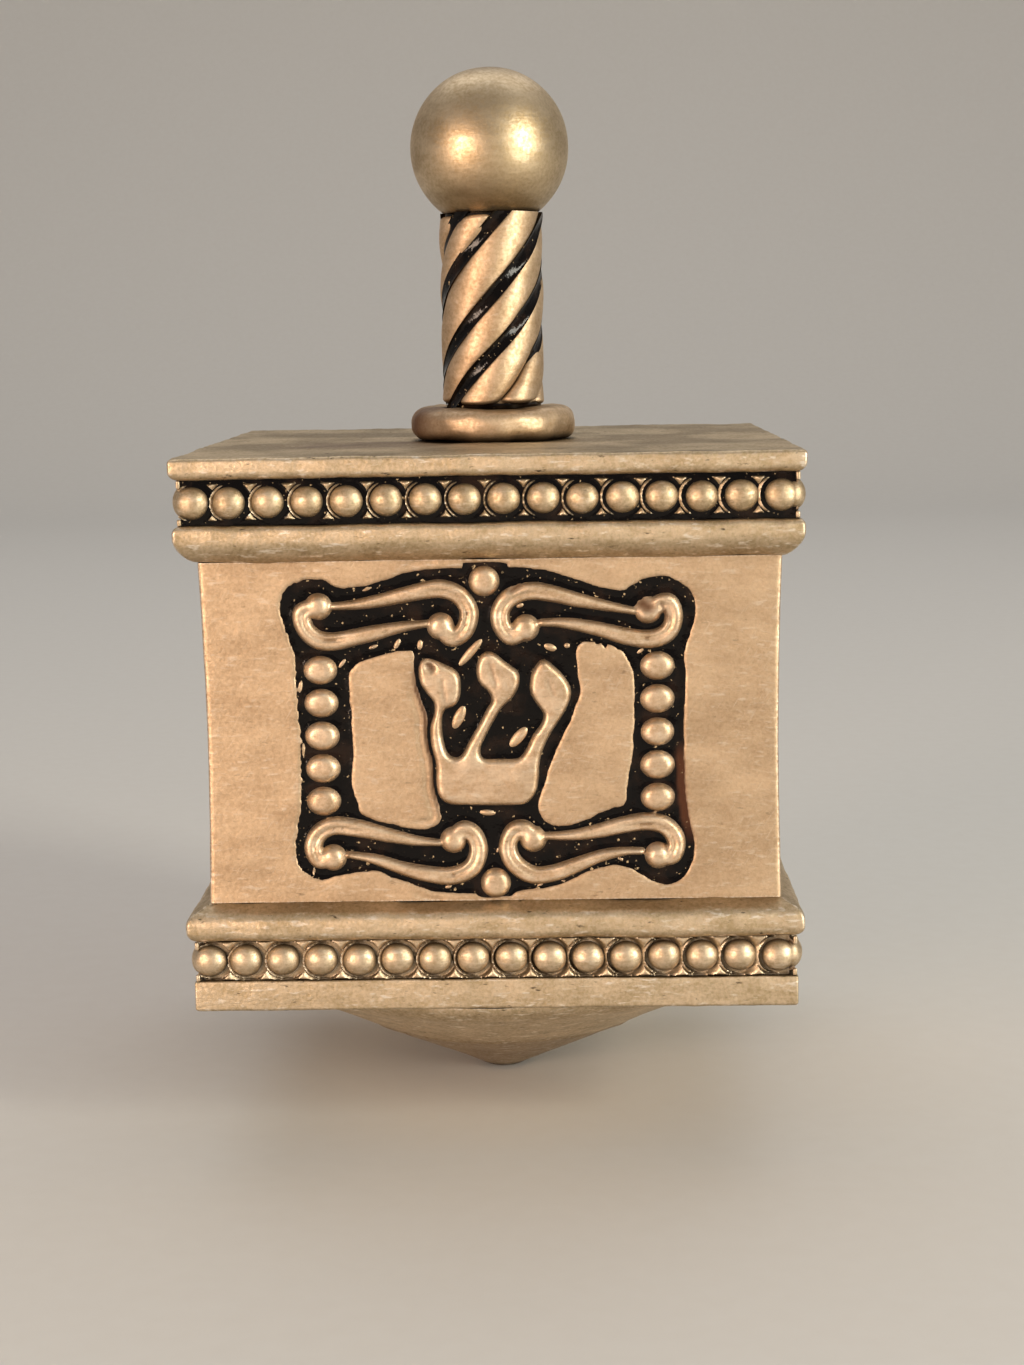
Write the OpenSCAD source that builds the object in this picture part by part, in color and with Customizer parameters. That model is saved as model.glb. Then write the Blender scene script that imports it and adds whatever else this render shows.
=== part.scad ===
// Dreidel: a four-sided spinning top in cast and built-up white metal, with black enamel.
// Origin at the spinning tip, Z up the spin axis, the shin side towards -Y.

/* [Heights] */
// Height of the point cone, from the tip to the base plate
point_h = 11; // [8:0.5:16]
// Thickness of the base plate
base_plate_h = 2.2; // [1.6:0.1:3]
// Height of the beaded band above the base plate
base_band_h = 2.9; // [2.9:0.1:3.8]
// Height of the base moulding
base_mould_h = 2.6; // [2.4:0.1:3.4]
// Height of the four side panels
body_h = 24.4; // [22:0.2:32]
// Height of the cap moulding
cap_mould_h = 2.65; // [2.4:0.05:3.4]
// Height of the beaded band under the cap plate
cap_band_h = 3.2; // [3.2:0.1:4.2]
// Thickness of the cap plate
cap_plate_h = 1.5; // [1.2:0.1:2.4]

/* [Widths] */
// Width over the side panels
body_w = 40.8; // [36:0.2:48]
// Thickness of the side panels
wall_t = 1.6; // [1.4:0.1:2.2]
// How far the cap plate stands out past the panels
cap_plate_proud = 1.6; // [1.4:0.05:2.4]
// How far the cap moulding stands out past the panels
cap_mould_proud = 1.5; // [1.2:0.05:2]
// How far the base moulding stands out past the panels
base_mould_proud = 1.55; // [1.2:0.05:2]
// How far the base plate stands out past the panels
base_plate_proud = 1.1; // [0.9:0.05:2]
// How far the edge of the point cone lies inside the edge of the base plate
point_inset = 0.2; // [0:0.1:5]
// Rounding of the spinning tip
tip_r = 4.2; // [0.8:0.1:6]

/* [Beaded bands] */
// Distance from bead to bead
bead_pitch = 2.72; // [2.6:0.02:3.2]
// Diameter of a bead
bead_d = 2.25; // [1.8:0.05:2.4]
// How far a bead stands out past the flat of the band
bead_proud = 0.45; // [0.2:0.05:0.6]
// Diameter of the round socket that holds a bead
socket_d = 3.1; // [2.9:0.05:3.2]
// Depth of the sockets
socket_depth = 0.5; // [0.3:0.05:0.7]
// Thickness of the black enamel in the sockets of the cap band
socket_fill = 0.35; // [0.15:0.05:0.45]

/* [Handle] */
// Radius of the ball on top
ball_r = 6.05; // [5:0.05:8]
// Radius over the strands of the twisted stem
stem_r = 4.05; // [3.4:0.05:4.6]
// Length of the twisted stem
stem_h = 14.75; // [12:0.05:22]
// Number of strands
strand_count = 6; // [5:1:8]
// Turn of the strands from foot to head, in degrees
stem_twist = 210; // [90:10:240]
// Depth of the grooves between the strands
groove_depth = 0.75; // [0.4:0.05:1]
// Radius of the collar under the stem
collar_r = 6.3; // [5.6:0.1:8]
// Height of the collar
collar_h = 2.5; // [2:0.1:4]
// Radius of the spindle rod that ties the handle to the point
spindle_r = 1.5; // [1.2:0.1:1.8]

/* [Relief on the sides] */
// Width of the relief
relief_w = 30; // [26:0.5:32]
// Gap between the relief and the mouldings above and below it
relief_gap = 0.2; // [0.1:0.1:0.6]
// Depth of the recess that takes the relief and its enamel
recess_d = 0.6; // [0.5:0.05:0.8]
// Thickness of the backing sheet of the scroll frame
backing_t = 0.25; // [0.15:0.05:0.3]
// Thickness of the enamel over the backing sheet
enamel_t = 0.23; // [0.1:0.01:0.3]
// How far the scrolls stand out past the panel
scroll_proud = 0.5; // [0.3:0.05:0.9]
// How far the letters stand out past the panel
letter_proud = 0.45; // [0.3:0.05:0.9]
// Greatest width of a scroll, in grid steps of the relief
scroll_w_share = 1.3; // [1:0.05:1.4]
// Diameter of the ball that ends a scroll, in grid steps
scroll_ball_share = 1.7; // [1.4:0.05:1.8]
// Diameter of the round bead at the middle of the top and of the bottom, in grid steps
middle_bead_share = 2; // [1.6:0.1:2.2]
// Width of the oval beads at the sides, in grid steps
side_bead_w_share = 2.3; // [1.8:0.1:2.5]
// Height of the oval beads at the sides, in grid steps
side_bead_h_share = 1.95; // [1.6:0.05:2.2]

/* [Hidden] */
// Smoothness of round shapes
$fn = 64;
// Overrun of a cut past the face that it opens
overrun = 0.2;
// Radial clearance of the spindle rod in its bores
spindle_gap = 0.05;
// Radial clearance of the point's spigot in the base plate
spigot_gap = 0.03;
// Radius of the spigot that centres the point cone in the base plate, and its end play under the cavity
spigot_r = 5;
spigot_end_gap = 0.2;
// Length of the spindle rod inside the ball
ball_grip = 5;
// Height of the spindle rod's foot above the spinning tip
rod_foot_h = 4.6;
// End play of the spindle rod in its two blind holes
end_gap = 0.3;
// Height of the plain neck at each end of the stem, where the black ring lies
neck_h = 0.3;
// How far the neck lies below the grooves, and how far the ball's seat stands out past them
neck_inset = 0.2;
seat_ledge = 0.3;
// How far the enamel in the stem's grooves lies below the strands
groove_fill_drop = 0.25;
// Shrinkage gap between the enamel and the metal beside it
enamel_gap = 0.02;
// Half of the width below which a sliver of enamel or a notch in the scrolls is left out
sliver_half = 0.06;
// Radius of the rounded edge of the collar
collar_edge_r = 1.05;
// Radius of the rounded edge of the cap plate
cap_edge_r = 0.5;
// Radius of the rounded lower edge of the base plate
base_edge_r = 0.25;
// Upper and lower rounding of the cap moulding
cap_mould_high_r = 0.6;
cap_mould_low_r = 1.3;
// Upper and lower rounding of the base moulding, and the drop of its sloped shoulder
base_mould_high_r = 0.9;
base_mould_low_r = 0.8;
base_shoulder_drop = 0.4;
// How far the flat of each band lies behind the edge of its plate
cap_band_inset = 0.5;
base_band_inset = 0.1;
// Distance from the end of a band to the centre of its last bead
bead_end = 1.1;
// Height of the dark line above and below the lands of the cap band, and below those of the base band
cap_line_h = 0.38;
base_line_h = 0.1;
// Washer and nut that hold the handle to the cap plate
washer_r = 3.6;
washer_h = 0.5;
nut_flats = 5.5;
nut_h = 2.4;
// Height of the step around the point cone and how far it stands out
point_step_h = 5.6;
point_step = 0.12;

// Levels, from the tip up
base_plate_z = point_h;
base_band_z = base_plate_z + base_plate_h;
base_mould_z = base_band_z + base_band_h;
body_z = base_mould_z + base_mould_h;
cap_mould_z = body_z + body_h;
cap_band_z = cap_mould_z + cap_mould_h;
cap_plate_z = cap_band_z + cap_band_h;
collar_z = cap_plate_z + cap_plate_h;
stem_z = collar_z + collar_h;
stem_top_z = stem_z + stem_h;
// The ball is cut flat where it sits on the stem
ball_seat_r = stem_r - groove_depth + seat_ledge;
ball_z = stem_top_z + sqrt(pow(ball_r, 2) - pow(ball_seat_r, 2));
total_h = ball_z + ball_r;

// Half widths, from the spin axis out
body_half = body_w / 2;
cavity_half = body_half - wall_t;
cap_half = body_half + cap_plate_proud;
cap_mould_half = body_half + cap_mould_proud;
base_mould_half = body_half + base_mould_proud;
base_half = body_half + base_plate_proud;
cap_land_half = cap_half - cap_band_inset;
base_land_half = base_half - base_band_inset;
point_r = base_half - point_inset;
stem_root_r = stem_r - groove_depth;
neck_r = stem_root_r - neck_inset;
ring_h = neck_h - enamel_gap;
bore_r = spindle_r + spindle_gap;
spindle_foot_z = rod_foot_h;
spindle_head_z = stem_top_z + ball_grip;

// The relief is drawn on a grid of steps across and up the panel
across_count = 30;
up_count = 24;
step_x = relief_w / across_count;
step_z = (body_h - 2 * relief_gap) / up_count;
face_mid_z = body_z + body_h / 2;
// Widths within the relief follow the smaller of the two steps
relief_step = min(step_x, step_z);
scroll_w = scroll_w_share * relief_step;
scroll_ball_d = scroll_ball_share * relief_step;
middle_bead_d = middle_bead_share * relief_step;
side_bead_w = side_bead_w_share * relief_step;
side_bead_h = side_bead_h_share * relief_step;
// Points of a curve between two of its drawn points, in a stroke and in an outline
stroke_smooth = 2;
outline_smooth = 2;
// Sides of an oval bead
oval_sides = 20;
// Points across a strand of the stem, and slices along its twist
strand_points = 6;
stem_slices = 15;
// Width of a scroll's tail and the part of its length over which it swells, as shares
tail_share = 0.25;
swell_share = 0.65;
// Radius of the ball that a relief bead's top is part of, as a share of the bead's width
dome_share = 0.75;

// Each scroll runs from its thin tail round a curl to the centre of its ball, in grid steps
scroll_shares = [
    [[-11, 9], [-9.5, 9.1], [-7.8, 9.35], [-6.1, 9.7], [-4.4, 10.05], [-3.2, 10.1],
        [-2.1, 9.6], [-1.5, 8.5], [-1.8, 7.2], [-2.7, 6.7], [-3.5, 7.5]],
    [[-4.5, 7.7], [-6.2, 7.5], [-7.9, 7.15], [-9.5, 6.8], [-11.1, 6.5], [-12.3, 6.7],
        [-13.1, 7.5], [-13.2, 8.6], [-12.1, 9]],
    [[-3.9, -8], [-5.7, -7.8], [-7.5, -7.4], [-9.8, -6.85], [-11.4, -6.65], [-12.5, -7.2],
        [-12.9, -8.2], [-12.5, -9.1], [-11.5, -8.95]],
    [[-10.4, -8.75], [-8.6, -9.1], [-6.6, -9.8], [-4.6, -10.3], [-2.9, -10.4], [-1.6, -9.8],
        [-1.1, -8.6], [-1.4, -7.5], [-2.2, -7.1], [-2.9, -7.8]],
    [[10.1, 8.4], [8.1, 8.8], [6.2, 9.2], [4.5, 9.65], [2.9, 9.9], [1.5, 9.5],
        [0.75, 8.6], [0.8, 7.5], [1.5, 6.75], [2.5, 7.3]],
    [[3.6, 7.65], [5.3, 7.6], [7.8, 7.1], [9.6, 6.6], [11.3, 6.4], [12.5, 6.9],
        [12.9, 8], [12.4, 9], [11.1, 8.45]],
    [[3.7, -7.6], [5.6, -7.55], [7.6, -7.25], [9.3, -6.85], [11, -6.65], [12.3, -7],
        [13, -8], [12.7, -9.1], [11.7, -9.1]],
    [[10.5, -8.8], [9.3, -8.8], [7.6, -9.1], [5.9, -9.7], [4.2, -10.3], [2.7, -10.4],
        [1.5, -9.6], [1, -8.4], [1.4, -7.3], [2.2, -7.1], [2.8, -7.8]]
];
// Centres of the round beads at the middle of the top and of the bottom
middle_bead_shares = [[-0.4, 10.65], [0.1, -10.95]];
// Centres of the oval beads, up each side
side_bead_shares = [for (side = [-12, 11.75], row = [-2:2]) [side, row * 2.35 - 0.2]];

// Edge of the enamel pool, round from the top middle
pool_shares = [
    [-1.7, 11.9], [-1.9, 11.6], [-4.1, 11.5], [-5.5, 11.3], [-7.5, 10.7], [-9.4, 10.3],
    [-10.8, 10.35], [-11.8, 10.85], [-13.3, 10.8], [-14.3, 10.2], [-14.8, 9], [-14.5, 7.7],
    [-14.1, 6.4], [-13.8, 5.2], [-13.8, 3], [-13.7, 0.5], [-13.65, -2], [-13.7, -5],
    [-14, -7], [-14.1, -9], [-13.4, -10.1], [-12.3, -10.5], [-11, -10.2], [-8.8, -9.9],
    [-7, -10.5], [-5, -11.3], [-3.4, -11.6], [-1.4, -11.7], [-1, -11.9], [1.1, -11.9],
    [1.5, -11.6], [3.5, -11.4], [5.4, -10.75], [6.9, -10.1], [8.3, -9.75], [9.5, -9.9],
    [10.5, -10.4], [11.5, -11], [12.6, -11.1], [13.7, -10.4], [14.2, -9.1], [14.2, -7.8],
    [13.8, -5.8], [13.6, -3], [13.6, 0], [13.65, 3], [13.65, 5.5], [14, 6.9],
    [14.4, 8.2], [14.1, 9.6], [13.2, 10.4], [12, 10.8], [10.8, 10.6], [9.9, 10.1],
    [9.2, 9.8], [7.2, 10.2], [5, 10.95], [3.4, 11.4], [1.3, 11.6], [1.1, 11.9]
];
// Plain metal left standing in the pool, on the left and on the right of the shin
left_island_shares = [
    [-10.2, 4], [-9.8, 4.7], [-8.8, 5.25], [-7.2, 5.7], [-5.7, 5.9], [-5.35, 5.5],
    [-5.5, 4.3], [-5.25, 3], [-4.8, 2], [-4.75, 0.8], [-4.7, -1], [-4.45, -3],
    [-4.4, -5], [-4.3, -6.4], [-4.8, -7], [-5.9, -7.05], [-7.6, -6.6], [-9.3, -6],
    [-9.8, -5.1], [-10.2, -3.6], [-10, -1.7], [-10.05, 0.5], [-10.15, 2.6]
];
right_island_shares = [
    [6.2, 6.1], [7.1, 6.3], [8.2, 6.1], [9.3, 5.6], [9.9, 4.6], [10.2, 3.3],
    [10.15, 1.5], [10.1, -0.7], [9.9, -2.5], [9.6, -4.2], [9.4, -5.4], [8.3, -5.75],
    [6.9, -6.4], [5.6, -6.85], [4.3, -6.9], [3.5, -6.4], [3.15, -5.5], [3.6, -4],
    [3.95, -2.7], [4.5, -1.4], [5.3, 0.3], [5.95, 1.7], [6.3, 2.7], [6.1, 3.8], [5.95, 5]
];
// Outlines of the four letters, in grid steps
shin_shares = [[
    [-5.1, 4.6], [-4.8, 5.2], [-4.2, 5.2], [-3.2, 4.75], [-2.45, 4.3], [-2.2, 3.6],
    [-2.25, 2.6], [-2.6, 1.9], [-3.4, 1.5], [-3.6, 0.5], [-3.5, -0.7], [-3.2, -1.6],
    [-2.6, -1.9], [-2.1, -1.6], [-1.7, -0.8], [-1.1, 0.2], [-0.4, 1.5], [0, 2.2],
    [-0.25, 2.85], [-0.8, 3.4], [-1.05, 4.3], [-0.85, 5.2], [-0.3, 5.65], [0.3, 5.5],
    [1.1, 4.85], [1.9, 4.2], [1.95, 3.3], [1.5, 2.4], [0.7, 1.65], [0.1, 0.7],
    [-0.5, -0.4], [-0.9, -1.4], [-0.6, -2], [0.5, -2.05], [1.8, -2], [2.4, -1.3],
    [2.9, -0.3], [3.5, 0.5], [3.65, 1.2], [3.2, 1.9], [2.75, 2.8], [2.85, 4],
    [3.3, 4.8], [3.75, 5.05], [4.3, 4.7], [5.1, 3.9], [5.6, 3], [5.55, 2.2],
    [5.05, 1.15], [4.2, -0.1], [3.6, -1.3], [3.3, -2.4], [3.25, -3.4], [3, -4.5],
    [2.3, -5.25], [1, -5.35], [-1.5, -5.3], [-3.1, -5.2], [-3.8, -4.7], [-4.05, -3.8],
    [-4.05, -2.4], [-4.35, -1], [-4.4, 0.3], [-4.1, 1.3], [-4.1, 2.1], [-4.6, 2.8], [-5.05, 3.6]
]];
hei_shares = [[
    [-4.2, 4.3], [-3.7, 5.2], [-2.9, 4.9], [-1.5, 4.5], [1.5, 4.5], [3.3, 4.8], [4.2, 4.4],
    [4.3, 3.3], [3.9, 2.2], [3.8, 0], [3.7, -2.5], [3.4, -4.6], [2.8, -5.3], [2.3, -4.6],
    [2.2, -2.5], [2.3, 0], [2.4, 2], [1.8, 2.75], [0, 2.8], [-2.5, 2.8], [-3.7, 3.2]
], [
    [-3.6, 1.3], [-2.9, 1.6], [-2.3, 1.1], [-2.4, -0.5], [-2.6, -3], [-2.7, -4.8],
    [-3.2, -5.3], [-3.7, -4.6], [-3.8, -2.5], [-3.8, 0]
]];
gimel_shares = [[
    [-1.6, 4.4], [-1.2, 5.3], [-0.4, 5.1], [1, 4.5], [2, 4], [2.4, 3], [2.3, 1],
    [2.2, -1], [2.6, -2.6], [3.3, -4.2], [3.2, -5], [2.4, -5.3], [1.7, -4.6],
    [1.1, -3.3], [0.4, -2.8], [-0.8, -3.4], [-2, -4.6], [-2.8, -5.3], [-3.4, -4.9],
    [-3.1, -4], [-1.9, -2.6], [-0.4, -1.5], [0.7, -0.8], [0.8, 1], [0.6, 2.2],
    [-0.4, 2.9], [-1.4, 3.5]
]];
nun_shares = [[
    [-1.6, 4.4], [-1.1, 5.3], [-0.2, 5], [1.4, 4.4], [2.2, 3.6], [2.4, 2], [2.3, 0],
    [2.3, -2.5], [2.3, -4.2], [1.8, -5.2], [0.5, -5.3], [-2, -5.3], [-2.9, -4.8],
    [-2.8, -3.9], [-1.8, -3.6], [0.2, -3.6], [0.8, -2.9], [0.8, -0.5], [0.8, 1.6],
    [0.5, 2.6], [-0.6, 3.1], [-1.5, 3.6]
]];

// Enamel in each groove of the stem: where it starts and ends, as shares of the strands' length
groove_fill_shares = [[0, 1], [0.25, 1], [0.1, 1], [0, 1], [0, 1], [0, 1]];
// Turn of the first groove at the foot of the stem, from the front towards the right side
first_groove_turn = -58;

metal = "#B7A58B";
metal_light = "#C9B798";
metal_dark = "#9A8A72";
steel = "#8E9196";
enamel_black = "#141210";

// Curve through drawn points
function between(a, b, c, d, t) = (2 * b + (c - a) * t + (2 * a - 5 * b + 4 * c - d) * t * t
    + (3 * b - a - 3 * c + d) * t * t * t) / 2;
function open_curve(p, n) = let (last = len(p) - 1) concat(
    [for (i = [0:last - 1], k = [0:n - 1])
        between(p[max(i - 1, 0)], p[i], p[i + 1], p[min(i + 2, last)], k / n)],
    [p[last]]);
function closed_curve(p, n) = let (m = len(p))
    [for (i = [0:m - 1], k = [0:n - 1])
        between(p[(i + m - 1) % m], p[i], p[(i + 1) % m], p[(i + 2) % m], k / n)];
function on_grid(p) = [for (q = p) [q[0] * step_x, q[1] * step_z]];

// Two edges of a scroll, to the left and to the right of its centre line
function scroll_width(s) = scroll_w * (tail_share + (1 - tail_share) * sin(90 * min(1, s / swell_share)));
function heading(c, i) = let (d = c[min(i + 1, len(c) - 1)] - c[max(i - 1, 0)]) d / norm(d);
function scroll_edge(c, side) = [for (i = [0:len(c) - 1])
    let (h = heading(c, i)) c[i] + side * scroll_width(i / (len(c) - 1)) / 2 * [-h[1], h[0]]];
function reversed(p) = [for (i = [len(p) - 1:-1:0]) p[i]];

// Puts the front piece of a set on another side: 0 front, 1 right, 2 back, 3 left
module side(turns) {
    rotate([0, 0, 90 * turns]) children();
}

// Cuts the front piece of a set of four at 45 degrees, so that the four meet at the corners
module mitred() {
    reach = 2 * max(cap_half, base_mould_half, cap_mould_half);
    intersection() {
        children();
        linear_extrude(height = total_h) polygon([[0, 0], [-reach, -reach], [reach, -reach]]);
    }
}

// Straight length along the front, with its profile drawn outwards and upwards
module length_along_front(half) {
    rotate([90, 0, 90]) translate([0, 0, -half]) linear_extrude(height = 2 * half)
        mirror([1, 0]) children();
}

// Bar profile with its two outer edges rounded
module nosed_profile(w, h, low_r, high_r) {
    inner_w = w - max(low_r, high_r);
    square([inner_w, h]);
    translate([0, low_r]) square([w, h - low_r - high_r]);
    square([w - low_r, h - high_r]);
    translate([0, low_r]) square([w - high_r, h - low_r]);
    translate([w - low_r, low_r]) circle(r = low_r);
    translate([w - high_r, h - high_r]) circle(r = high_r);
}

// Square plate whose four outer edges are rounded
module nosed_plate(half, h, low_r, high_r) {
    intersection() {
        length_along_front(2 * half) plate_section(half, h, low_r, high_r);
        rotate([0, 0, 90]) length_along_front(2 * half) plate_section(half, h, low_r, high_r);
    }
}

module plate_section(half, h, low_r, high_r) {
    nosed_profile(half, h, low_r, high_r);
    mirror([1, 0]) nosed_profile(half, h, low_r, high_r);
}

// The handle
module ball_finial() {
    color(metal_light) difference() {
        translate([0, 0, ball_z]) sphere(r = ball_r);
        translate([0, 0, stem_top_z - ball_r]) cylinder(r = ball_r, h = ball_r);
        translate([0, 0, stem_top_z - overrun]) cylinder(r = bore_r, h = ball_grip + end_gap + overrun);
    }
}

// Radius of the twisted stem at an angle across one strand, from -1 at a groove to 1 at the next
function strand_radius(s) = stem_root_r + groove_depth * sqrt(max(0, 1 - s * s));
function strand_angle(strand, k) =
    (strand + 0.5 - cos(180 * k / strand_points) / 2) * 360 / strand_count;
function stem_outline() = [for (strand = [0:strand_count - 1], k = [0:strand_points - 1])
    let (r = strand_radius(cos(180 * k / strand_points)), a = strand_angle(strand, k))
    [r * sin(a), -r * cos(a)]];

// Twisted length of a drawing, from one slice of the strands' length to another
module twisted(from_slice, to_slice) {
    slice_h = (stem_h - 2 * neck_h) / stem_slices;
    slice_twist = stem_twist / stem_slices;
    slices = to_slice - from_slice;
    translate([0, 0, stem_z + neck_h + slice_h * from_slice])
        rotate([0, 0, first_groove_turn + slice_twist * from_slice])
            linear_extrude(height = slice_h * slices, twist = -slice_twist * slices,
                slices = slices, segments = 1) children();
}

module twisted_stem() {
    color(metal_light) difference() {
        union() {
            twisted(0, stem_slices) polygon(stem_outline());
            translate([0, 0, stem_z]) cylinder(r = neck_r, h = stem_h);
        }
        translate([0, 0, stem_z - overrun]) cylinder(r = bore_r, h = stem_h + 2 * overrun);
    }
}

// Enamel section of one groove: between two strands, out to the level of the fill
module groove_section(groove) {
    turn = 360 / strand_count;
    fill_r = stem_r - groove_fill_drop;
    offset(delta = -enamel_gap) difference() {
        rotate([0, 0, groove * turn]) polygon([[0, 0],
            [-fill_r * sin(turn / 3), -fill_r * cos(turn / 3)],
            [0, -fill_r],
            [fill_r * sin(turn / 3), -fill_r * cos(turn / 3)]]);
        polygon(stem_outline());
    }
}

module stem_enamel() {
    color(enamel_black) {
        for (groove = [0:strand_count - 1]) {
            span = groove_fill_shares[groove % len(groove_fill_shares)];
            twisted(round(span[0] * stem_slices), round(span[1] * stem_slices)) groove_section(groove);
        }
        black_ring(stem_z);
        black_ring(stem_top_z - ring_h);
    }
}

// Black ring round a plain neck of the stem, a shrinkage gap short of the grooves
module black_ring(z) {
    ring_r = stem_r - groove_fill_drop;
    translate([0, 0, z]) difference() {
        cylinder(r = ring_r, h = ring_h);
        translate([0, 0, -overrun]) cylinder(r = neck_r, h = ring_h + 2 * overrun);
    }
}

module stem_collar() {
    color(metal_light) translate([0, 0, collar_z]) difference() {
        rotate_extrude() nosed_profile(collar_r, collar_h, collar_edge_r, collar_edge_r);
        translate([0, 0, -overrun]) cylinder(r = bore_r, h = collar_h + 2 * overrun);
    }
}

module spindle_rod() {
    color(steel) translate([0, 0, spindle_foot_z])
        cylinder(r = spindle_r, h = spindle_head_z - spindle_foot_z);
}

module handle_washer() {
    color(steel) translate([0, 0, cap_plate_z - washer_h]) difference() {
        cylinder(r = washer_r, h = washer_h);
        translate([0, 0, -overrun]) cylinder(r = bore_r, h = washer_h + 2 * overrun);
    }
}

module handle_nut() {
    color(steel) translate([0, 0, cap_plate_z - washer_h - nut_h]) difference() {
        cylinder(r = nut_flats / sqrt(3), h = nut_h, $fn = 6);
        translate([0, 0, -overrun]) cylinder(r = bore_r, h = nut_h + 2 * overrun);
    }
}

// The cap
module cap_plate() {
    color(metal) difference() {
        translate([0, 0, cap_plate_z]) nosed_plate(cap_half, cap_plate_h, cap_edge_r, cap_edge_r);
        translate([0, 0, cap_plate_z - overrun]) cylinder(r = bore_r, h = cap_plate_h + 2 * overrun);
    }
}

// Flat lands that stand between the sockets of a band, above and below where two sockets meet
module lands(half, z, h, low_line, high_line) {
    difference() {
        translate([bead_end - half, -half, z + low_line])
            cube([2 * (half - bead_end), socket_depth, h - low_line - high_line]);
        bead_row(half, z + h / 2) rotate([-90, 0, 0])
            translate([0, 0, -overrun]) cylinder(d = socket_d, h = socket_depth + 2 * overrun);
    }
}

// Copies of a piece at each bead of a band, placed on the band's flat
module bead_row(half, z) {
    run = 2 * (half - bead_end);
    gaps = round(run / bead_pitch);
    for (i = [0:gaps]) translate([i * run / gaps - half + bead_end, -half, z]) children();
}

module beads(half, z) {
    bead_row(half, z) translate([0, bead_d / 2 - bead_proud, 0]) sphere(d = bead_d);
}

module beading(half, z, h, low_line, high_line) {
    color(metal) mitred() {
        union() {
            translate([-half, socket_depth - half, z])
                cube([2 * half, half - socket_depth - cavity_half, h]);
            lands(half, z, h, low_line, high_line);
            beads(half, z + h / 2);
        }
    }
}

module cap_beading() {
    beading(cap_land_half, cap_band_z, cap_band_h, cap_line_h, cap_line_h);
}

module base_beading() {
    beading(base_land_half, base_band_z, base_band_h, base_line_h, 0);
}

module cap_bead_enamel() {
    half = cap_land_half;
    color(enamel_black) for (turns = [0:3]) side(turns) mitred() difference() {
        translate([-half, socket_depth - half - socket_fill, cap_band_z])
            cube([2 * half, socket_fill, cap_band_h]);
        lands(half, cap_band_z, cap_band_h, cap_line_h, cap_line_h);
        beads(half, cap_band_z + cap_band_h / 2);
    }
}

module cap_moulding() {
    color(metal) mitred() length_along_front(cap_mould_half) translate([cavity_half, cap_mould_z])
        nosed_profile(cap_mould_half - cavity_half, cap_mould_h, cap_mould_low_r, cap_mould_high_r);
}

// The sides
// Draws on the front panel: across and up from its middle, and out from its face
module on_panel(depth) {
    translate([0, -body_half, face_mid_z]) rotate([90, 0, 0]) translate([0, 0, -depth]) children();
}

module pool_area(island_right) {
    difference() {
        polygon(closed_curve(on_grid(pool_shares), outline_smooth));
        polygon(closed_curve(on_grid(left_island_shares), outline_smooth));
        if (island_right) polygon(closed_curve(on_grid(right_island_shares), outline_smooth));
        else mirror([1, 0]) polygon(closed_curve(on_grid(left_island_shares), outline_smooth));
    }
}

module scroll_area(scroll) {
    line = open_curve(on_grid(scroll), stroke_smooth);
    polygon(concat(scroll_edge(line, 1), reversed(scroll_edge(line, -1))));
    oval(line[len(line) - 1], scroll_ball_d, scroll_ball_d);
}

// All the scrolls as one flat shape, without the narrow notches where two of them meet
module scroll_areas() {
    offset(delta = -sliver_half) offset(delta = sliver_half)
        for (scroll = scroll_shares) scroll_area(scroll);
}

module oval(p, w, h) {
    polygon([for (i = [0:oval_sides - 1]) let (a = 360 * i / oval_sides)
        p + [w * cos(a), h * sin(a)] / 2]);
}

module bead_areas() {
    for (p = on_grid(middle_bead_shares)) oval(p, middle_bead_d, middle_bead_d);
    for (p = on_grid(side_bead_shares)) oval(p, side_bead_w, side_bead_h);
}

module letter_area(shares) {
    for (outline = shares) polygon(closed_curve(on_grid(outline), outline_smooth));
}

module panel(island_right) {
    color(metal) difference() {
        mitred() translate([-body_half, -body_half, body_z]) cube([body_w, wall_t, body_h]);
        on_panel(recess_d) linear_extrude(height = recess_d + overrun) pool_area(island_right);
    }
}

// Bead of the relief, standing on the backing sheet, with its top part of a ball
module relief_bead(p, w, h) {
    rise = recess_d + scroll_proud - backing_t;
    dome_r = w * dome_share;
    intersection() {
        linear_extrude(height = rise) oval(p, w, h);
        translate([p[0], p[1], rise - dome_r]) sphere(r = dome_r);
    }
}

module scroll_frame(island_right) {
    color(metal_light) {
        on_panel(recess_d) linear_extrude(height = backing_t) pool_area(island_right);
        on_panel(recess_d - backing_t) {
            linear_extrude(height = recess_d - backing_t + scroll_proud) scroll_areas();
            for (p = on_grid(middle_bead_shares)) relief_bead(p, middle_bead_d, middle_bead_d);
            for (p = on_grid(side_bead_shares)) relief_bead(p, side_bead_w, side_bead_h);
        }
    }
}

module letter(shares) {
    color(metal_light) on_panel(recess_d - backing_t)
        linear_extrude(height = recess_d - backing_t + letter_proud) letter_area(shares);
}

module enamel(shares, island_right) {
    color(enamel_black) on_panel(recess_d - backing_t) linear_extrude(height = enamel_t)
        offset(delta = sliver_half) offset(delta = -sliver_half - enamel_gap) difference() {
            pool_area(island_right);
            scroll_areas();
            bead_areas();
            letter_area(shares);
        }
}

// The base
module base_moulding() {
    w = base_mould_half - cavity_half;
    nose_h = base_mould_h - base_shoulder_drop;
    color(metal) mitred() length_along_front(base_mould_half) translate([cavity_half, base_mould_z]) {
        nosed_profile(w, nose_h, base_mould_low_r, base_mould_high_r);
        polygon([[0, 0], [w - base_mould_high_r, base_mould_low_r], [w - base_mould_high_r, nose_h],
            [wall_t, base_mould_h], [0, base_mould_h]]);
    }
}

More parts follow.
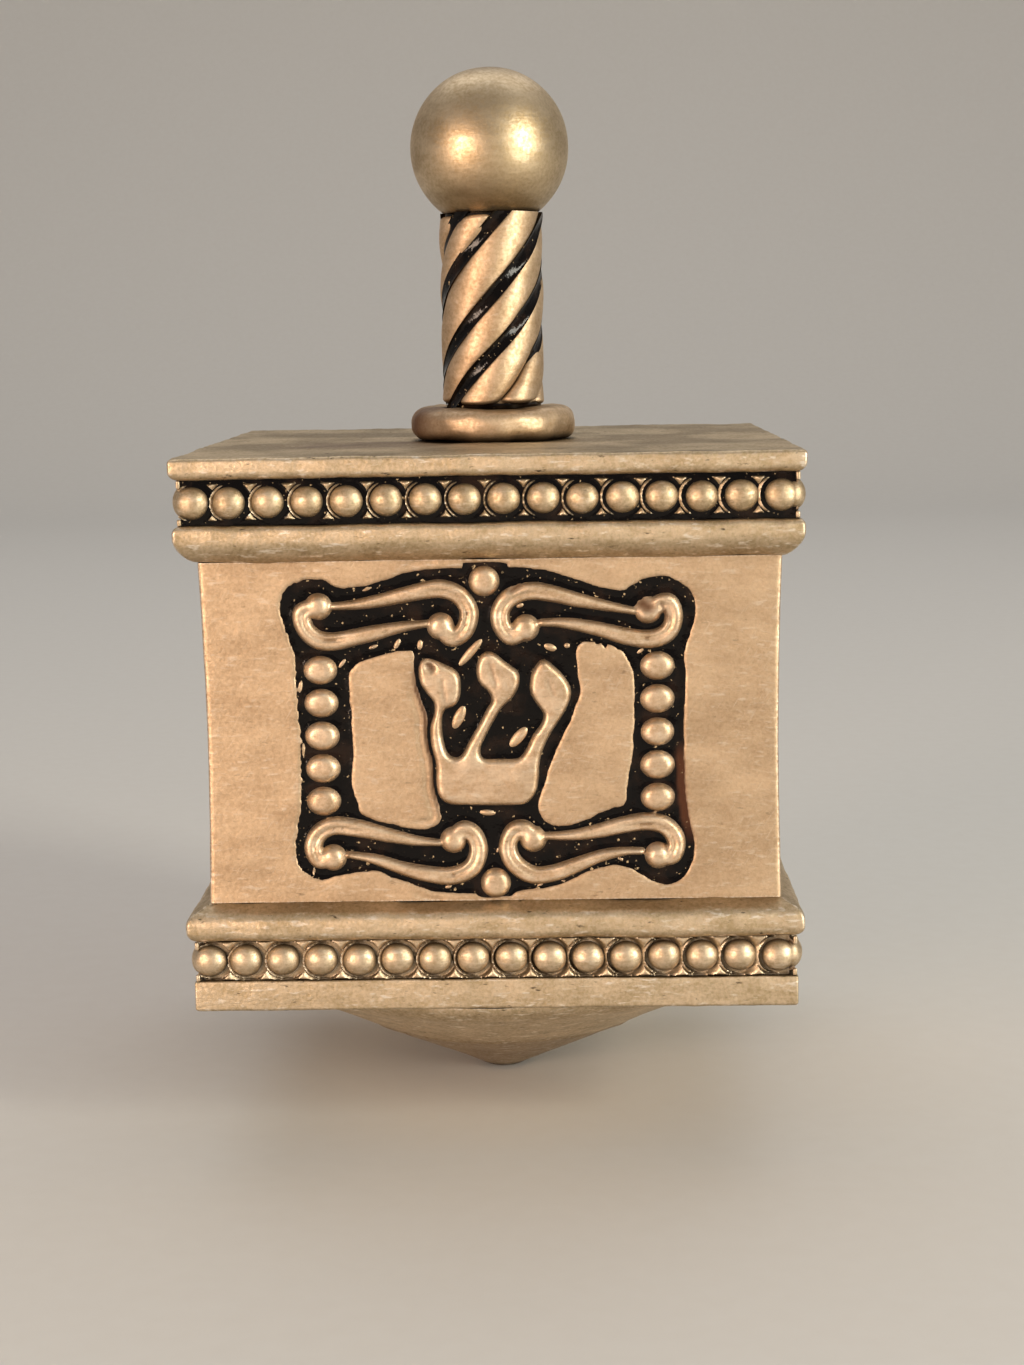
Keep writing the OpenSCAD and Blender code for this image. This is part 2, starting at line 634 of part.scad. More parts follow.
module base_plate() {
    color(metal) difference() {
        translate([0, 0, base_plate_z]) nosed_plate(base_half, base_plate_h, base_edge_r, base_edge_r);
        translate([0, 0, base_plate_z - overrun])
            cylinder(r = spigot_r + spigot_gap, h = base_plate_h + 2 * overrun);
    }
}

// Cone with a rounded tip, a fine step part way up, and a spigot that centres it in the base plate
module point_cone() {
    slope = atan2(point_r, point_h + tip_r * (1 / sin(atan2(point_r, point_h)) - 1));
    tangent_z = tip_r - tip_r * sin(slope);
    tangent_r = tip_r * cos(slope);
    step_r = tangent_r + (point_r - tangent_r) * (point_step_h - tangent_z) / (point_h - tangent_z);
    color(metal) difference() {
        union() {
            rotate_extrude() polygon([[0, tangent_z], [tangent_r, tangent_z],
                [step_r - point_step, point_step_h - point_step], [step_r, point_step_h],
                [point_r, point_h], [0, point_h]]);
            intersection() {
                translate([0, 0, tip_r]) sphere(r = tip_r);
                cylinder(r = tip_r, h = tip_r);
            }
            cylinder(r = spigot_r, h = point_h + base_plate_h - spigot_end_gap);
        }
        translate([0, 0, spindle_foot_z - end_gap])
            cylinder(r = bore_r, h = base_band_z - spindle_foot_z + end_gap + overrun);
    }
}

ball_finial();
twisted_stem();
stem_enamel();
stem_collar();
spindle_rod();
handle_washer();
handle_nut();
cap_plate();
side(0) cap_beading();  // cap_beading_front
side(1) cap_beading();  // cap_beading_right
side(2) cap_beading();  // cap_beading_back
side(3) cap_beading();  // cap_beading_left
cap_bead_enamel();
side(0) cap_moulding();  // cap_moulding_front
side(1) cap_moulding();  // cap_moulding_right
side(2) cap_moulding();  // cap_moulding_back
side(3) cap_moulding();  // cap_moulding_left
side(0) panel(true);  // panel_front
side(1) panel(false);  // panel_right
side(2) panel(false);  // panel_back
side(3) panel(false);  // panel_left
side(0) scroll_frame(true);  // scroll_frame_front
side(1) scroll_frame(false);  // scroll_frame_right
side(2) scroll_frame(false);  // scroll_frame_back
side(3) scroll_frame(false);  // scroll_frame_left
side(0) letter(shin_shares);  // letter_shin_front
side(1) letter(hei_shares);  // letter_hei_right
side(2) letter(gimel_shares);  // letter_gimel_back
side(3) letter(nun_shares);  // letter_nun_left
side(0) enamel(shin_shares, true);  // enamel_front
side(1) enamel(hei_shares, false);  // enamel_right
side(2) enamel(gimel_shares, false);  // enamel_back
side(3) enamel(nun_shares, false);  // enamel_left
side(0) base_moulding();  // base_moulding_front
side(1) base_moulding();  // base_moulding_right
side(2) base_moulding();  // base_moulding_back
side(3) base_moulding();  // base_moulding_left
side(0) base_beading();  // base_beading_front
side(1) base_beading();  // base_beading_right
side(2) base_beading();  // base_beading_back
side(3) base_beading();  // base_beading_left
base_plate();
point_cone();
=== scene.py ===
"""Dreidel in antiqued white metal with black enamel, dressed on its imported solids."""
import math
import bmesh
import bpy
import numpy as np
from mathutils import Matrix, Vector, noise


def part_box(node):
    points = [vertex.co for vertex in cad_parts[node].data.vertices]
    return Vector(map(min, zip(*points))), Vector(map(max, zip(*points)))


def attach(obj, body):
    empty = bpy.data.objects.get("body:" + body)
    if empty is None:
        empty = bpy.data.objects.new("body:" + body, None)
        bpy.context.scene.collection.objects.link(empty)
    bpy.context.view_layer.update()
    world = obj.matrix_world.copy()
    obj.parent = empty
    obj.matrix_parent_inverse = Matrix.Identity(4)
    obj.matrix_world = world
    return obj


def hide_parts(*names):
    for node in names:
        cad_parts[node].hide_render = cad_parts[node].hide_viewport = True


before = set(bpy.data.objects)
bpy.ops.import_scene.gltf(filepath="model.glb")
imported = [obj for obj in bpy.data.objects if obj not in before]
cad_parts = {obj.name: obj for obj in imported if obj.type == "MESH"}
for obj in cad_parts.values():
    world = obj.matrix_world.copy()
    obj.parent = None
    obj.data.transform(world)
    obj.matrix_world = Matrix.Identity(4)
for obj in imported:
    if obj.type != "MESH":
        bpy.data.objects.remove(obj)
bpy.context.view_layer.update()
# The unevenness of the castings is the same on every run
noise.seed_set(5)

MM = 0.001
SIDES = ["front", "right", "back", "left"]


def box_mm(node):
    """Lowest and highest corner of a CAD node, in millimetres."""
    low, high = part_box(node)
    return low / MM, high / MM


# Sizes taken from the frame, in millimetres
BODY_LOW, BODY_HIGH = box_mm("panel_front")
BODY_HALF = BODY_HIGH.x
WALL = BODY_HIGH.y - BODY_LOW.y
CAVITY_HALF = BODY_HALF - WALL
FACE_MID_Z = (BODY_LOW.z + BODY_HIGH.z) / 2
BODY_H = BODY_HIGH.z - BODY_LOW.z
CAP_PLATE = box_mm("cap_plate")
CAP_BAND = box_mm("cap_beading_front")
CAP_MOULD = box_mm("cap_moulding_front")
BASE_MOULD = box_mm("base_moulding_front")
BASE_BAND = box_mm("base_beading_front")
BASE_PLATE = box_mm("base_plate")
CONE = box_mm("point_cone")
COLLAR = box_mm("stem_collar")
STEM = box_mm("twisted_stem")
BALL = box_mm("ball_finial")

# Depths of the relief, in millimetres from the face of the panel
RECESS_D = 0.6
BACKING_LEVEL = -0.35
ENAMEL_LEVEL = -0.13
SCROLL_LEVEL = 0.47
LETTER_LEVEL = 0.42
WAIST = 0.2
# Fine grid of the relief
GRID = 0.15

# Each scroll runs from its thin tail round a curl to the centre of its ball, in millimetres
SCROLLS = [
    [[-11, 9], [-9.5, 9.1], [-7.8, 9.35], [-6.1, 9.7], [-4.4, 10.05], [-3.2, 10.1],
     [-2.1, 9.6], [-1.5, 8.5], [-1.8, 7.2], [-2.7, 6.7], [-3.5, 7.5]],
    [[-4.5, 7.7], [-6.2, 7.5], [-7.9, 7.15], [-9.5, 6.8], [-11.1, 6.5], [-12.3, 6.7],
     [-13.1, 7.5], [-13.2, 8.6], [-12.1, 9]],
    [[-3.9, -8], [-5.7, -7.8], [-7.5, -7.4], [-9.8, -6.85], [-11.4, -6.65], [-12.5, -7.2],
     [-12.9, -8.2], [-12.5, -9.1], [-11.5, -8.95]],
    [[-10.4, -8.75], [-8.6, -9.1], [-6.6, -9.8], [-4.6, -10.3], [-2.9, -10.4], [-1.6, -9.8],
     [-1.1, -8.6], [-1.4, -7.5], [-2.2, -7.1], [-2.9, -7.8]],
    [[10.1, 8.4], [8.1, 8.8], [6.2, 9.2], [4.5, 9.65], [2.9, 9.9], [1.5, 9.5],
     [0.75, 8.6], [0.8, 7.5], [1.5, 6.75], [2.5, 7.3]],
    [[3.6, 7.65], [5.3, 7.6], [7.8, 7.1], [9.6, 6.6], [11.3, 6.4], [12.5, 6.9],
     [12.9, 8], [12.4, 9], [11.1, 8.45]],
    [[3.7, -7.6], [5.6, -7.55], [7.6, -7.25], [9.3, -6.85], [11, -6.65], [12.3, -7],
     [13, -8], [12.7, -9.1], [11.7, -9.1]],
    [[10.5, -8.8], [9.3, -8.8], [7.6, -9.1], [5.9, -9.7], [4.2, -10.3], [2.7, -10.4],
     [1.5, -9.6], [1, -8.4], [1.4, -7.3], [2.2, -7.1], [2.8, -7.8]],
]
SCROLL_W = 1.3
SCROLL_BALL_R = 1.0
TAIL_SHARE = 0.42
SWELL_SHARE = 0.65
# Round beads at the middle of the top and bottom, and oval beads up each side
MIDDLE_BEADS = [[-0.4, 10.65], [0.1, -10.95]]
MIDDLE_BEAD_R = 1.13
SIDE_BEADS = [[x, row * 2.35 - 0.2] for x in (-12.12, 11.75) for row in range(-2, 3)]
SIDE_BEAD_R = (1.27, 1.07)

# Edge of the enamel pool, round from the top middle
POOL = [
    [-1.7, 11.9], [-1.9, 11.6], [-4.1, 11.5], [-5.5, 11.3], [-7.5, 10.7], [-9.4, 10.3],
    [-10.8, 10.35], [-11.8, 10.85], [-13.3, 10.8], [-14.3, 10.2], [-14.8, 9], [-14.5, 7.7],
    [-14.1, 6.4], [-13.8, 5.2], [-13.8, 3], [-13.7, 0.5], [-13.65, -2], [-13.7, -5],
    [-14, -7], [-14.1, -9], [-13.4, -10.1], [-12.3, -10.5], [-11, -10.2], [-8.8, -9.9],
    [-7, -10.5], [-5, -11.3], [-3.4, -11.6], [-1.4, -11.7], [-1, -11.9], [1.1, -11.9],
    [1.5, -11.6], [3.5, -11.4], [5.4, -10.75], [6.9, -10.1], [8.3, -9.75], [9.5, -9.9],
    [10.5, -10.4], [11.5, -11], [12.6, -11.1], [13.7, -10.4], [14.2, -9.1], [14.2, -7.8],
    [13.8, -5.8], [13.6, -3], [13.6, 0], [13.65, 3], [13.65, 5.5], [14, 6.9],
    [14.4, 8.2], [14.1, 9.6], [13.2, 10.4], [12, 10.8], [10.8, 10.6], [9.9, 10.1],
    [9.2, 9.8], [7.2, 10.2], [5, 10.95], [3.4, 11.4], [1.3, 11.6], [1.1, 11.9],
]
# Plain metal left standing in the pool, on the left and on the right of the shin
LEFT_ISLAND = [
    [-10.2, 4], [-9.8, 4.7], [-8.8, 5.25], [-7.2, 5.7], [-5.7, 5.9], [-5.35, 5.5],
    [-5.4, 4.4], [-5.25, 3.3], [-4.95, 2.4], [-4.6, 1.3], [-4.62, 0.2], [-4.5, -1],
    [-4.22, -2.4], [-4.2, -3.8], [-3.95, -4.9], [-3.75, -6.4], [-4.6, -7], [-5.9, -7.05],
    [-7.6, -6.6], [-9.3, -6],
    [-9.8, -5.1], [-10.2, -3.6], [-10, -1.7], [-10.05, 0.5], [-10.15, 2.6],
]
RIGHT_ISLAND = [
    [6.2, 6.1], [7.1, 6.3], [8.2, 6.1], [9.3, 5.6], [9.9, 4.6], [10.2, 3.3],
    [10.15, 1.5], [10.1, -0.7], [9.9, -2.5], [9.6, -4.2], [9.4, -5.4], [8.3, -5.75],
    [6.9, -6.4], [5.6, -6.85], [4.3, -6.9], [3.5, -6.4], [3.15, -5.5], [3.6, -4],
    [3.95, -2.7], [4.5, -1.4], [5.3, 0.3], [5.95, 1.7], [6.3, 2.7], [6.1, 3.8], [5.95, 5],
]
# Outlines of the four letters
SHIN = [[
    [-5.1, 4.6], [-4.8, 5.2], [-4.2, 5.2], [-3.2, 4.75], [-2.45, 4.3], [-2.2, 3.6],
    [-2.25, 2.6], [-2.6, 1.9], [-3.4, 1.5], [-3.6, 0.5], [-3.5, -0.7], [-3.2, -1.6],
    [-2.6, -1.9], [-2.1, -1.6], [-1.7, -0.8], [-1.1, 0.2], [-0.4, 1.5], [0, 2.2],
    [-0.25, 2.85], [-0.8, 3.4], [-1.05, 4.3], [-0.85, 5.2], [-0.3, 5.65], [0.3, 5.5],
    [1.1, 4.85], [1.9, 4.2], [1.95, 3.3], [1.5, 2.4], [0.7, 1.65], [0.1, 0.7],
    [-0.5, -0.4], [-0.9, -1.4], [-0.6, -2], [0.5, -2.05], [1.8, -2], [2.4, -1.3],
    [2.9, -0.3], [3.5, 0.5], [3.65, 1.2], [3.2, 1.9], [2.75, 2.8], [2.85, 4],
    [3.3, 4.8], [3.75, 5.05], [4.3, 4.7], [5.1, 3.9], [5.6, 3], [5.55, 2.2],
    [5.05, 1.15], [4.2, -0.1], [3.6, -1.3], [3.3, -2.4], [3.25, -3.4], [3, -4.5],
    [2.3, -5.25], [1, -5.35], [-1.5, -5.3], [-3.1, -5.2], [-3.8, -4.7], [-4.05, -3.8],
    [-4.05, -2.4], [-4.35, -1], [-4.4, 0.3], [-4.1, 1.3], [-4.1, 2.1], [-4.6, 2.8], [-5.05, 3.6],
]]
HEI = [[
    [-4.2, 4.3], [-3.7, 5.2], [-2.9, 4.9], [-1.5, 4.5], [1.5, 4.5], [3.3, 4.8], [4.2, 4.4],
    [4.3, 3.3], [3.9, 2.2], [3.8, 0], [3.7, -2.5], [3.4, -4.6], [2.8, -5.3], [2.3, -4.6],
    [2.2, -2.5], [2.3, 0], [2.4, 2], [1.8, 2.75], [0, 2.8], [-2.5, 2.8], [-3.7, 3.2],
], [
    [-3.6, 1.3], [-2.9, 1.6], [-2.3, 1.1], [-2.4, -0.5], [-2.6, -3], [-2.7, -4.8],
    [-3.2, -5.3], [-3.7, -4.6], [-3.8, -2.5], [-3.8, 0],
]]
GIMEL = [[
    [-1.6, 4.4], [-1.2, 5.3], [-0.4, 5.1], [1, 4.5], [2, 4], [2.4, 3], [2.3, 1],
    [2.2, -1], [2.6, -2.6], [3.3, -4.2], [3.2, -5], [2.4, -5.3], [1.7, -4.6],
    [1.1, -3.3], [0.4, -2.8], [-0.8, -3.4], [-2, -4.6], [-2.8, -5.3], [-3.4, -4.9],
    [-3.1, -4], [-1.9, -2.6], [-0.4, -1.5], [0.7, -0.8], [0.8, 1], [0.6, 2.2],
    [-0.4, 2.9], [-1.4, 3.5],
]]
NUN = [[
    [-1.6, 4.4], [-1.1, 5.3], [-0.2, 5], [1.4, 4.4], [2.2, 3.6], [2.4, 2], [2.3, 0],
    [2.3, -2.5], [2.3, -4.2], [1.8, -5.2], [0.5, -5.3], [-2, -5.3], [-2.9, -4.8],
    [-2.8, -3.9], [-1.8, -3.6], [0.2, -3.6], [0.8, -2.9], [0.8, -0.5], [0.8, 1.6],
    [0.5, 2.6], [-0.6, 3.1], [-1.5, 3.6],
]]
# Creases and pits of the front casting: across and up at both ends, half width, depth and stain
LETTER_CREASES = [
    [-4.45, 4.8, -4.2, 4.62, 0.28, 0.4, 1], [-3.5, 3.7, -3.3, 2.3, 0.14, 0.06, 0.45],
    [-0.1, 4.9, 0.35, 3.3, 0.16, 0.07, 0.5], [4.0, 3.6, 4.4, 2.6, 0.13, 0.05, 0.35],
]
SCROLL_CREASES = [
    [1.5, 9.95, 2.1, 10.35, 0.2, 0.25, 0.9], [10.75, 8.9, 11.1, 8.7, 0.52, 0.25, 1],
    [12.0, 8.9, 12.5, 7.9, 0.2, 0.16, 0.8], [11.2, -8.25, 11.8, -8.2, 0.2, 0.1, 0.9],
    [-1.9, 7.4, -1.7, 8.4, 0.1, 0.08, 0.5], [-12.4, 7.7, -12.2, 8.3, 0.15, 0.1, 0.6],
]
LETTERS = {"front": ("shin", SHIN), "right": ("hei", HEI), "back": ("gimel", GIMEL), "left": ("nun", NUN)}

# Small bits of metal that show through the enamel: across, up, length, width and tilt in degrees
METAL_BITS = [
    [4.2, 5.9, 0.85, 0.45, -20], [-5, 6.2, 0.6, 0.35, 80], [5.4, 6.0, 0.35, 0.3, 0],
    [-0.4, -5.9, 0.95, 0.35, -5], [2.1, 8.9, 0.5, 0.3, 20], [-8.6, 10.2, 0.5, 0.15, 20],
    [-12.9, -9.9, 0.6, 0.12, 80], [8.9, -9.3, 0.5, 0.2, -30], [6.7, -6.3, 0.4, 0.2, 10],
    [0.3, -8.6, 0.4, 0.2, 70], [-3.3, -11.2, 0.4, 0.2, 15], [4.9, -10.9, 0.4, 0.2, -10],
    [-13.6, 3.3, 0.7, 0.2, 80], [-13.5, -1.2, 0.9, 0.15, 85], [-6.6, 6.3, 0.7, 0.3, 60],
    [-8.3, 6.1, 0.4, 0.15, 20], [-10.6, 4.9, 0.6, 0.18, 50], [10.6, 5.6, 0.5, 0.2, 40],
    [3.3, -11.1, 0.5, 0.14, 25],
]
# The same between the arms of the shin
SHIN_BITS = [[-1.45, 5.6, 2.3, 0.55, 48], [-2.35, 1.0, 1.8, 0.75, 65], [1.85, -0.5, 1.8, 0.75, 48]]


# Materials

# Colours shared by the metals: a dull tone for the painted shade on undersides and for darker flat tops, a
# brown for creeping lacquer and for painted shade, and freshly scuffed metal
UNDERSIDE_SHADE_AND_TOP_TONE = "#6F5F47"
LACQUER_AND_SHADE_BROWN = "#5A3B20"
SCUFFED = "#F3E8D8"


def colour(code):
    """Linear colour of an sRGB hex code."""
    parts = [int(code[i:i + 2], 16) / 255 for i in (1, 3, 5)]
    return [p / 12.92 if p <= 0.04045 else ((p + 0.055) / 1.055) ** 2.4 for p in parts] + [1]


def add(tree, kind, inputs=None, **settings):
    """A shader node with its settings; an input takes a value, or the socket that feeds it."""
    made = tree.nodes.new("ShaderNode" + kind)
    for name, value in settings.items():
        setattr(made, name, value)
    for name, value in (inputs or {}).items():
        if isinstance(value, bpy.types.NodeSocket):
            tree.links.new(value, made.inputs[name])
        else:
            made.inputs[name].default_value = value
    return made


def new_material(name):
    """An empty node material with its output and its object coordinates in millimetres."""
    material = bpy.data.materials.new(name)
    material.use_nodes = True
    tree = material.node_tree
    tree.nodes.clear()
    place = add(tree, "TexCoord").outputs["Object"]
    in_mm = add(tree, "VectorMath", {0: place, "Scale": 1 / MM}, operation="SCALE").outputs[0]
    return material, tree, in_mm


def antiqued_metal(name, bright, worn, patina, rough, mottle_mm, patina_share, grain_bump, edge_glow,
                   scuffing, hair_share):
    """Cast white metal, blackened and rubbed back: bright where it is rubbed, olive brown in the hollows,
    and darker on the undersides as painted shade, mottled and scuffed between, with a sandy grain and bright
    worn edges. Two values kept at the points of a mesh steer it: one where lacquer lies and where painted
    shade is put, one where painted sheen and rubbed wear lift the painted underside shade again."""
    material, tree, place = new_material(name)
    # Rubbing runs level along the bars and bands, so the patterns are drawn out level
    level = add(tree, "VectorMath", {0: place, 1: (1, 1, 2.2)}, operation="MULTIPLY").outputs[0]
    mottle = add(tree, "TexNoise", {"Vector": level, "Scale": 1 / mottle_mm, "Detail": 5, "Roughness": 0.62})
    fine = add(tree, "TexNoise", {"Vector": place, "Scale": 1 / 0.28, "Detail": 3, "Roughness": 0.6})
    drawn = add(tree, "VectorMath", {0: place, 1: (0.45, 0.45, 1.6)}, operation="MULTIPLY").outputs[0]
    scuff = add(tree, "TexNoise", {"Vector": drawn, "Scale": 1 / 0.5, "Detail": 3, "Roughness": 0.65})
    grit = add(tree, "TexVoronoi", {"Vector": place, "Scale": 1 / 0.3}, feature="F1")
    hollow = add(tree, "AmbientOcclusion", {"Distance": 0.9 * MM}, samples=8, only_local=False)
    open_share = add(tree, "MapRange", {
        "Value": hollow.outputs["AO"], "From Min": 0.3, "From Max": 0.85}).outputs[0]
    # Patina lies where the mottle is low, and thicker in the hollows
    spots = add(tree, "MapRange", {
        "Value": mottle.outputs[0], "From Min": 0.36, "From Max": 0.62}).outputs[0]
    specks = add(tree, "MapRange", {
        "Value": fine.outputs[0], "From Min": 0.38, "From Max": 0.6}).outputs[0]
    rubbed = add(tree, "Math", {0: spots, 1: 1 - patina_share, 2: patina_share * 0.5},
                 operation="MULTIPLY_ADD").outputs[0]
    rubbed = add(tree, "Mix", {0: 0.35, 2: rubbed, 3: specks}, data_type="FLOAT").outputs[0]
    rubbed = add(tree, "Math", {0: rubbed, 1: open_share}, operation="MULTIPLY").outputs[0]
    # Painted shade: undersides are painted darker, with less of the bright tone and more of the dull one;
    # flat tops are darker in broad smears
    normal = add(tree, "NewGeometry").outputs["Normal"]
    rise = add(tree, "SeparateXYZ", {0: normal}).outputs[2]
    under = add(tree, "MapRange", {
        "Value": rise, "From Min": -0.2, "From Max": -0.8, "To Min": 1.0, "To Max": 0.55}).outputs[0]
    # Where the cone's belt is lifted out of the painted underside shade: painted sheen, with rubbed wear at
    # its ridge
    belt_sheen_lift = add(tree, "Attribute", attribute_name="belt_sheen_and_wear").outputs["Fac"]
    under = add(tree, "Math", {0: under, 1: belt_sheen_lift}, operation="MAXIMUM").outputs[0]
    flat = add(tree, "MapRange", {"Value": rise, "From Min": 0.8, "From Max": 0.99}).outputs[0]
    smears = add(tree, "TexNoise", {"Vector": place, "Scale": 1 / 7, "Detail": 2}).outputs[0]
    smears = add(tree, "MapRange", {"Value": smears, "From Min": 0.6, "From Max": 0.4,
                                    "To Min": 0.4, "To Max": 0.78}).outputs[0]
    upper = add(tree, "Math", {0: flat, 1: smears}, operation="MULTIPLY").outputs[0]
    upper = add(tree, "Math", {0: 1.0, 1: upper}, operation="SUBTRACT").outputs[0]
    # Painted shade keeps the bright tone off the undersides, and the smears off the flat tops
    rubbed = add(tree, "Math", {0: rubbed, 1: under}, operation="MULTIPLY").outputs[0]
    rubbed = add(tree, "Math", {0: rubbed, 1: upper}, operation="MULTIPLY").outputs[0]
    # Dull tone where the painted underside shade and the darker flat tops lie
    underside_shade_and_top = add(tree, "Math", {0: under, 1: upper}, operation="MULTIPLY").outputs[0]
    base = add(tree, "Mix", {0: underside_shade_and_top, 6: colour(UNDERSIDE_SHADE_AND_TOP_TONE), 7: colour(worn)}, data_type="RGBA").outputs[2]
    tone = add(tree, "Mix", {0: rubbed, 6: base, 7: colour(bright)}, data_type="RGBA").outputs[2]
    # Dark pits and bright scuffs
    pits = add(tree, "MapRange", {
        "Value": scuff.outputs[0], "From Min": 0.35, "From Max": 0.27, "To Max": scuffing}).outputs[0]
    tone = add(tree, "Mix", {0: pits, 6: tone, 7: colour(patina)}, data_type="RGBA").outputs[2]
    scratches = add(tree, "MapRange", {
        "Value": scuff.outputs[0], "From Min": 0.58, "From Max": 0.7, "To Max": scuffing}).outputs[0]
    upright = add(tree, "MapRange", {"Value": flat, "To Min": 1.0, "To Max": 0.08}).outputs[0]
    scratches = add(tree, "Math", {0: scratches, 1: upright}, operation="MULTIPLY").outputs[0]
    # Hair scratches of the polishing cloth, in two directions
    hairs = 0.0
    for tilt in (12, -58):
        slant = add(tree, "Mapping", {"Vector": place, "Rotation": (0, math.radians(tilt), 0),
                                      "Scale": (3.2, 1.6, 0.24)}, vector_type="TEXTURE").outputs[0]
        hair = add(tree, "TexNoise", {"Vector": slant, "Scale": 1 / 0.4, "Detail": 1}).outputs[0]
        hairs = add(tree, "Math", {0: hairs, 1: hair}, operation="MAXIMUM").outputs[0]
    hairs = add(tree, "MapRange", {
        "Value": hairs, "From Min": 0.67, "From Max": 0.76, "To Max": hair_share}).outputs[0]
    scratches = add(tree, "Math", {0: scratches, 1: hairs}, operation="MAXIMUM").outputs[0]
    tone = add(tree, "Mix", {0: scratches, 6: tone, 7: colour(SCUFFED)}, data_type="RGBA").outputs[2]
    # Brown lacquer that crept over the edge of the enamel and lies in pits; the same brown is painted shade
    # on the cone's middle and on the collar's left, and a darker patch on the cap plate's top
    stain_and_shade = add(tree, "Attribute", attribute_name="stain_and_shade").outputs["Fac"]
    tone = add(tree, "Mix", {0: stain_and_shade, 6: tone, 7: colour(LACQUER_AND_SHADE_BROWN)}, data_type="RGBA").outputs[2]
    crevice = add(tree, "MapRange", {
        "Value": hollow.outputs["AO"], "From Min": 0.15, "From Max": 0.7}).outputs[0]
    tone = add(tree, "Mix", {0: crevice, 6: colour(patina), 7: tone}, data_type="RGBA").outputs[2]
    # Worn edges: where a rounded normal turns away from the true one, broken up by the grain
    soft = add(tree, "Bevel", {"Radius": 0.18 * MM}, samples=4).outputs[0]
    along = add(tree, "VectorMath", {0: soft, 1: normal}, operation="DOT_PRODUCT").outputs["Value"]
    edge = add(tree, "MapRange", {
        "Value": along, "From Min": 0.985, "From Max": 0.9, "To Max": edge_glow}).outputs[0]
    edge = add(tree, "Math", {0: edge, 1: specks}, operation="MULTIPLY").outputs[0]
    edge = add(tree, "Math", {0: edge, 1: crevice}, operation="MULTIPLY").outputs[0]
    tone = add(tree, "Mix", {0: edge, 6: tone, 7: colour(SCUFFED)}, data_type="RGBA").outputs[2]
    roughness = add(tree, "MapRange", {
        "Value": fine.outputs[0], "From Min": 0.3, "From Max": 0.7,
        "To Min": rough + 0.07, "To Max": rough - 0.07}).outputs[0]
    metal = add(tree, "MapRange", {"Value": crevice, "To Min": 0.55, "To Max": 1.0}).outputs[0]
    bare = add(tree, "MapRange", {"Value": stain_and_shade, "To Min": 1.0, "To Max": 0.15}).outputs[0]
    metal = add(tree, "Math", {0: metal, 1: bare}, operation="MULTIPLY").outputs[0]
    height = add(tree, "Mix", {0: 0.45, 2: fine.outputs[0], 3: grit.outputs["Distance"]},
                 data_type="FLOAT").outputs[0]
    bump = add(tree, "Bump", {"Height": height, "Strength": grain_bump, "Distance": 0.05 * MM})
    bump = add(tree, "Bump", {"Height": scuff.outputs[0], "Strength": grain_bump * 0.8,
                              "Distance": 0.08 * MM, "Normal": bump.outputs[0]})
    shader = add(tree, "BsdfPrincipled", {
        "Base Color": tone, "Metallic": metal, "Roughness": roughness, "Normal": bump.outputs[0]})
    add(tree, "OutputMaterial", {0: shader.outputs[0]})
    return material


def black_enamel():
    """Cold enamel: soot-black, glossy resin that pooled and set, with dust, metal filings and a ripple; its
    pale flecks are dust and filings, and painted glints too.
    """
    material, tree, place = new_material("black_enamel")
    dust = add(tree, "TexNoise", {"Vector": place, "Scale": 1 / 0.3, "Detail": 2, "Roughness": 0.5})
    ripple = add(tree, "TexNoise", {"Vector": place, "Scale": 1 / 0.9, "Detail": 3})
    # Pale flecks: dust and metal filings, and also painted glints
    flecks_and_glints = add(tree, "MapRange", {
        "Value": dust.outputs[0], "From Min": 0.68, "From Max": 0.74}).outputs[0]
    depth = add(tree, "TexNoise", {"Vector": place, "Scale": 1 / 2.2, "Detail": 3}).outputs[0]
    depth = add(tree, "MapRange", {"Value": depth, "From Min": 0.52, "From Max": 0.68}).outputs[0]
    tone = add(tree, "Mix", {0: depth, 6: colour("#060302"), 7: colour("#20150E")},
               data_type="RGBA").outputs[2]
    stain_and_shade = add(tree, "Attribute", attribute_name="stain_and_shade").outputs["Fac"]
    tone = add(tree, "Mix", {0: stain_and_shade, 6: tone, 7: colour("#52301E")}, data_type="RGBA").outputs[2]
    tone = add(tree, "Mix", {0: flecks_and_glints, 6: tone, 7: colour("#B09A78")}, data_type="RGBA").outputs[2]
    roughness = add(tree, "MapRange", {
        "Value": dust.outputs[0], "From Min": 0.3, "From Max": 0.7,
        "To Min": 0.08, "To Max": 0.16}).outputs[0]
    bump = add(tree, "Bump", {"Height": ripple.outputs[0], "Strength": 0.5, "Distance": 0.1 * MM})
    bump = add(tree, "Bump", {"Height": dust.outputs[0], "Strength": 0.25, "Distance": 0.06 * MM,
                              "Normal": bump.outputs[0]})
    shader = add(tree, "BsdfPrincipled", {
        "Base Color": tone, "Metallic": 0.0, "Roughness": roughness, "IOR": 1.45,
        "Specular IOR Level": 0.25, "Normal": bump.outputs[0]})
    add(tree, "OutputMaterial", {0: shader.outputs[0]})
    return material


def turned_steel():
    """Plain turned steel of the rod, washer and nut, with fine rings from the lathe."""
    material, tree, place = new_material("turned_steel")
    rings = add(tree, "TexWave", {"Vector": place, "Scale": 1.2, "Distortion": 0.6, "Detail": 2},
                bands_direction="Z")
    roughness = add(tree, "MapRange", {
        "Value": rings.outputs[1], "To Min": 0.28, "To Max": 0.4}).outputs[0]
    bump = add(tree, "Bump", {"Height": rings.outputs[1], "Strength": 0.2, "Distance": 0.02 * MM})
    shader = add(tree, "BsdfPrincipled", {
        "Base Color": colour("#9A9DA1"), "Metallic": 1.0, "Roughness": roughness,
        "Normal": bump.outputs[0]})
    add(tree, "OutputMaterial", {0: shader.outputs[0]})
    return material


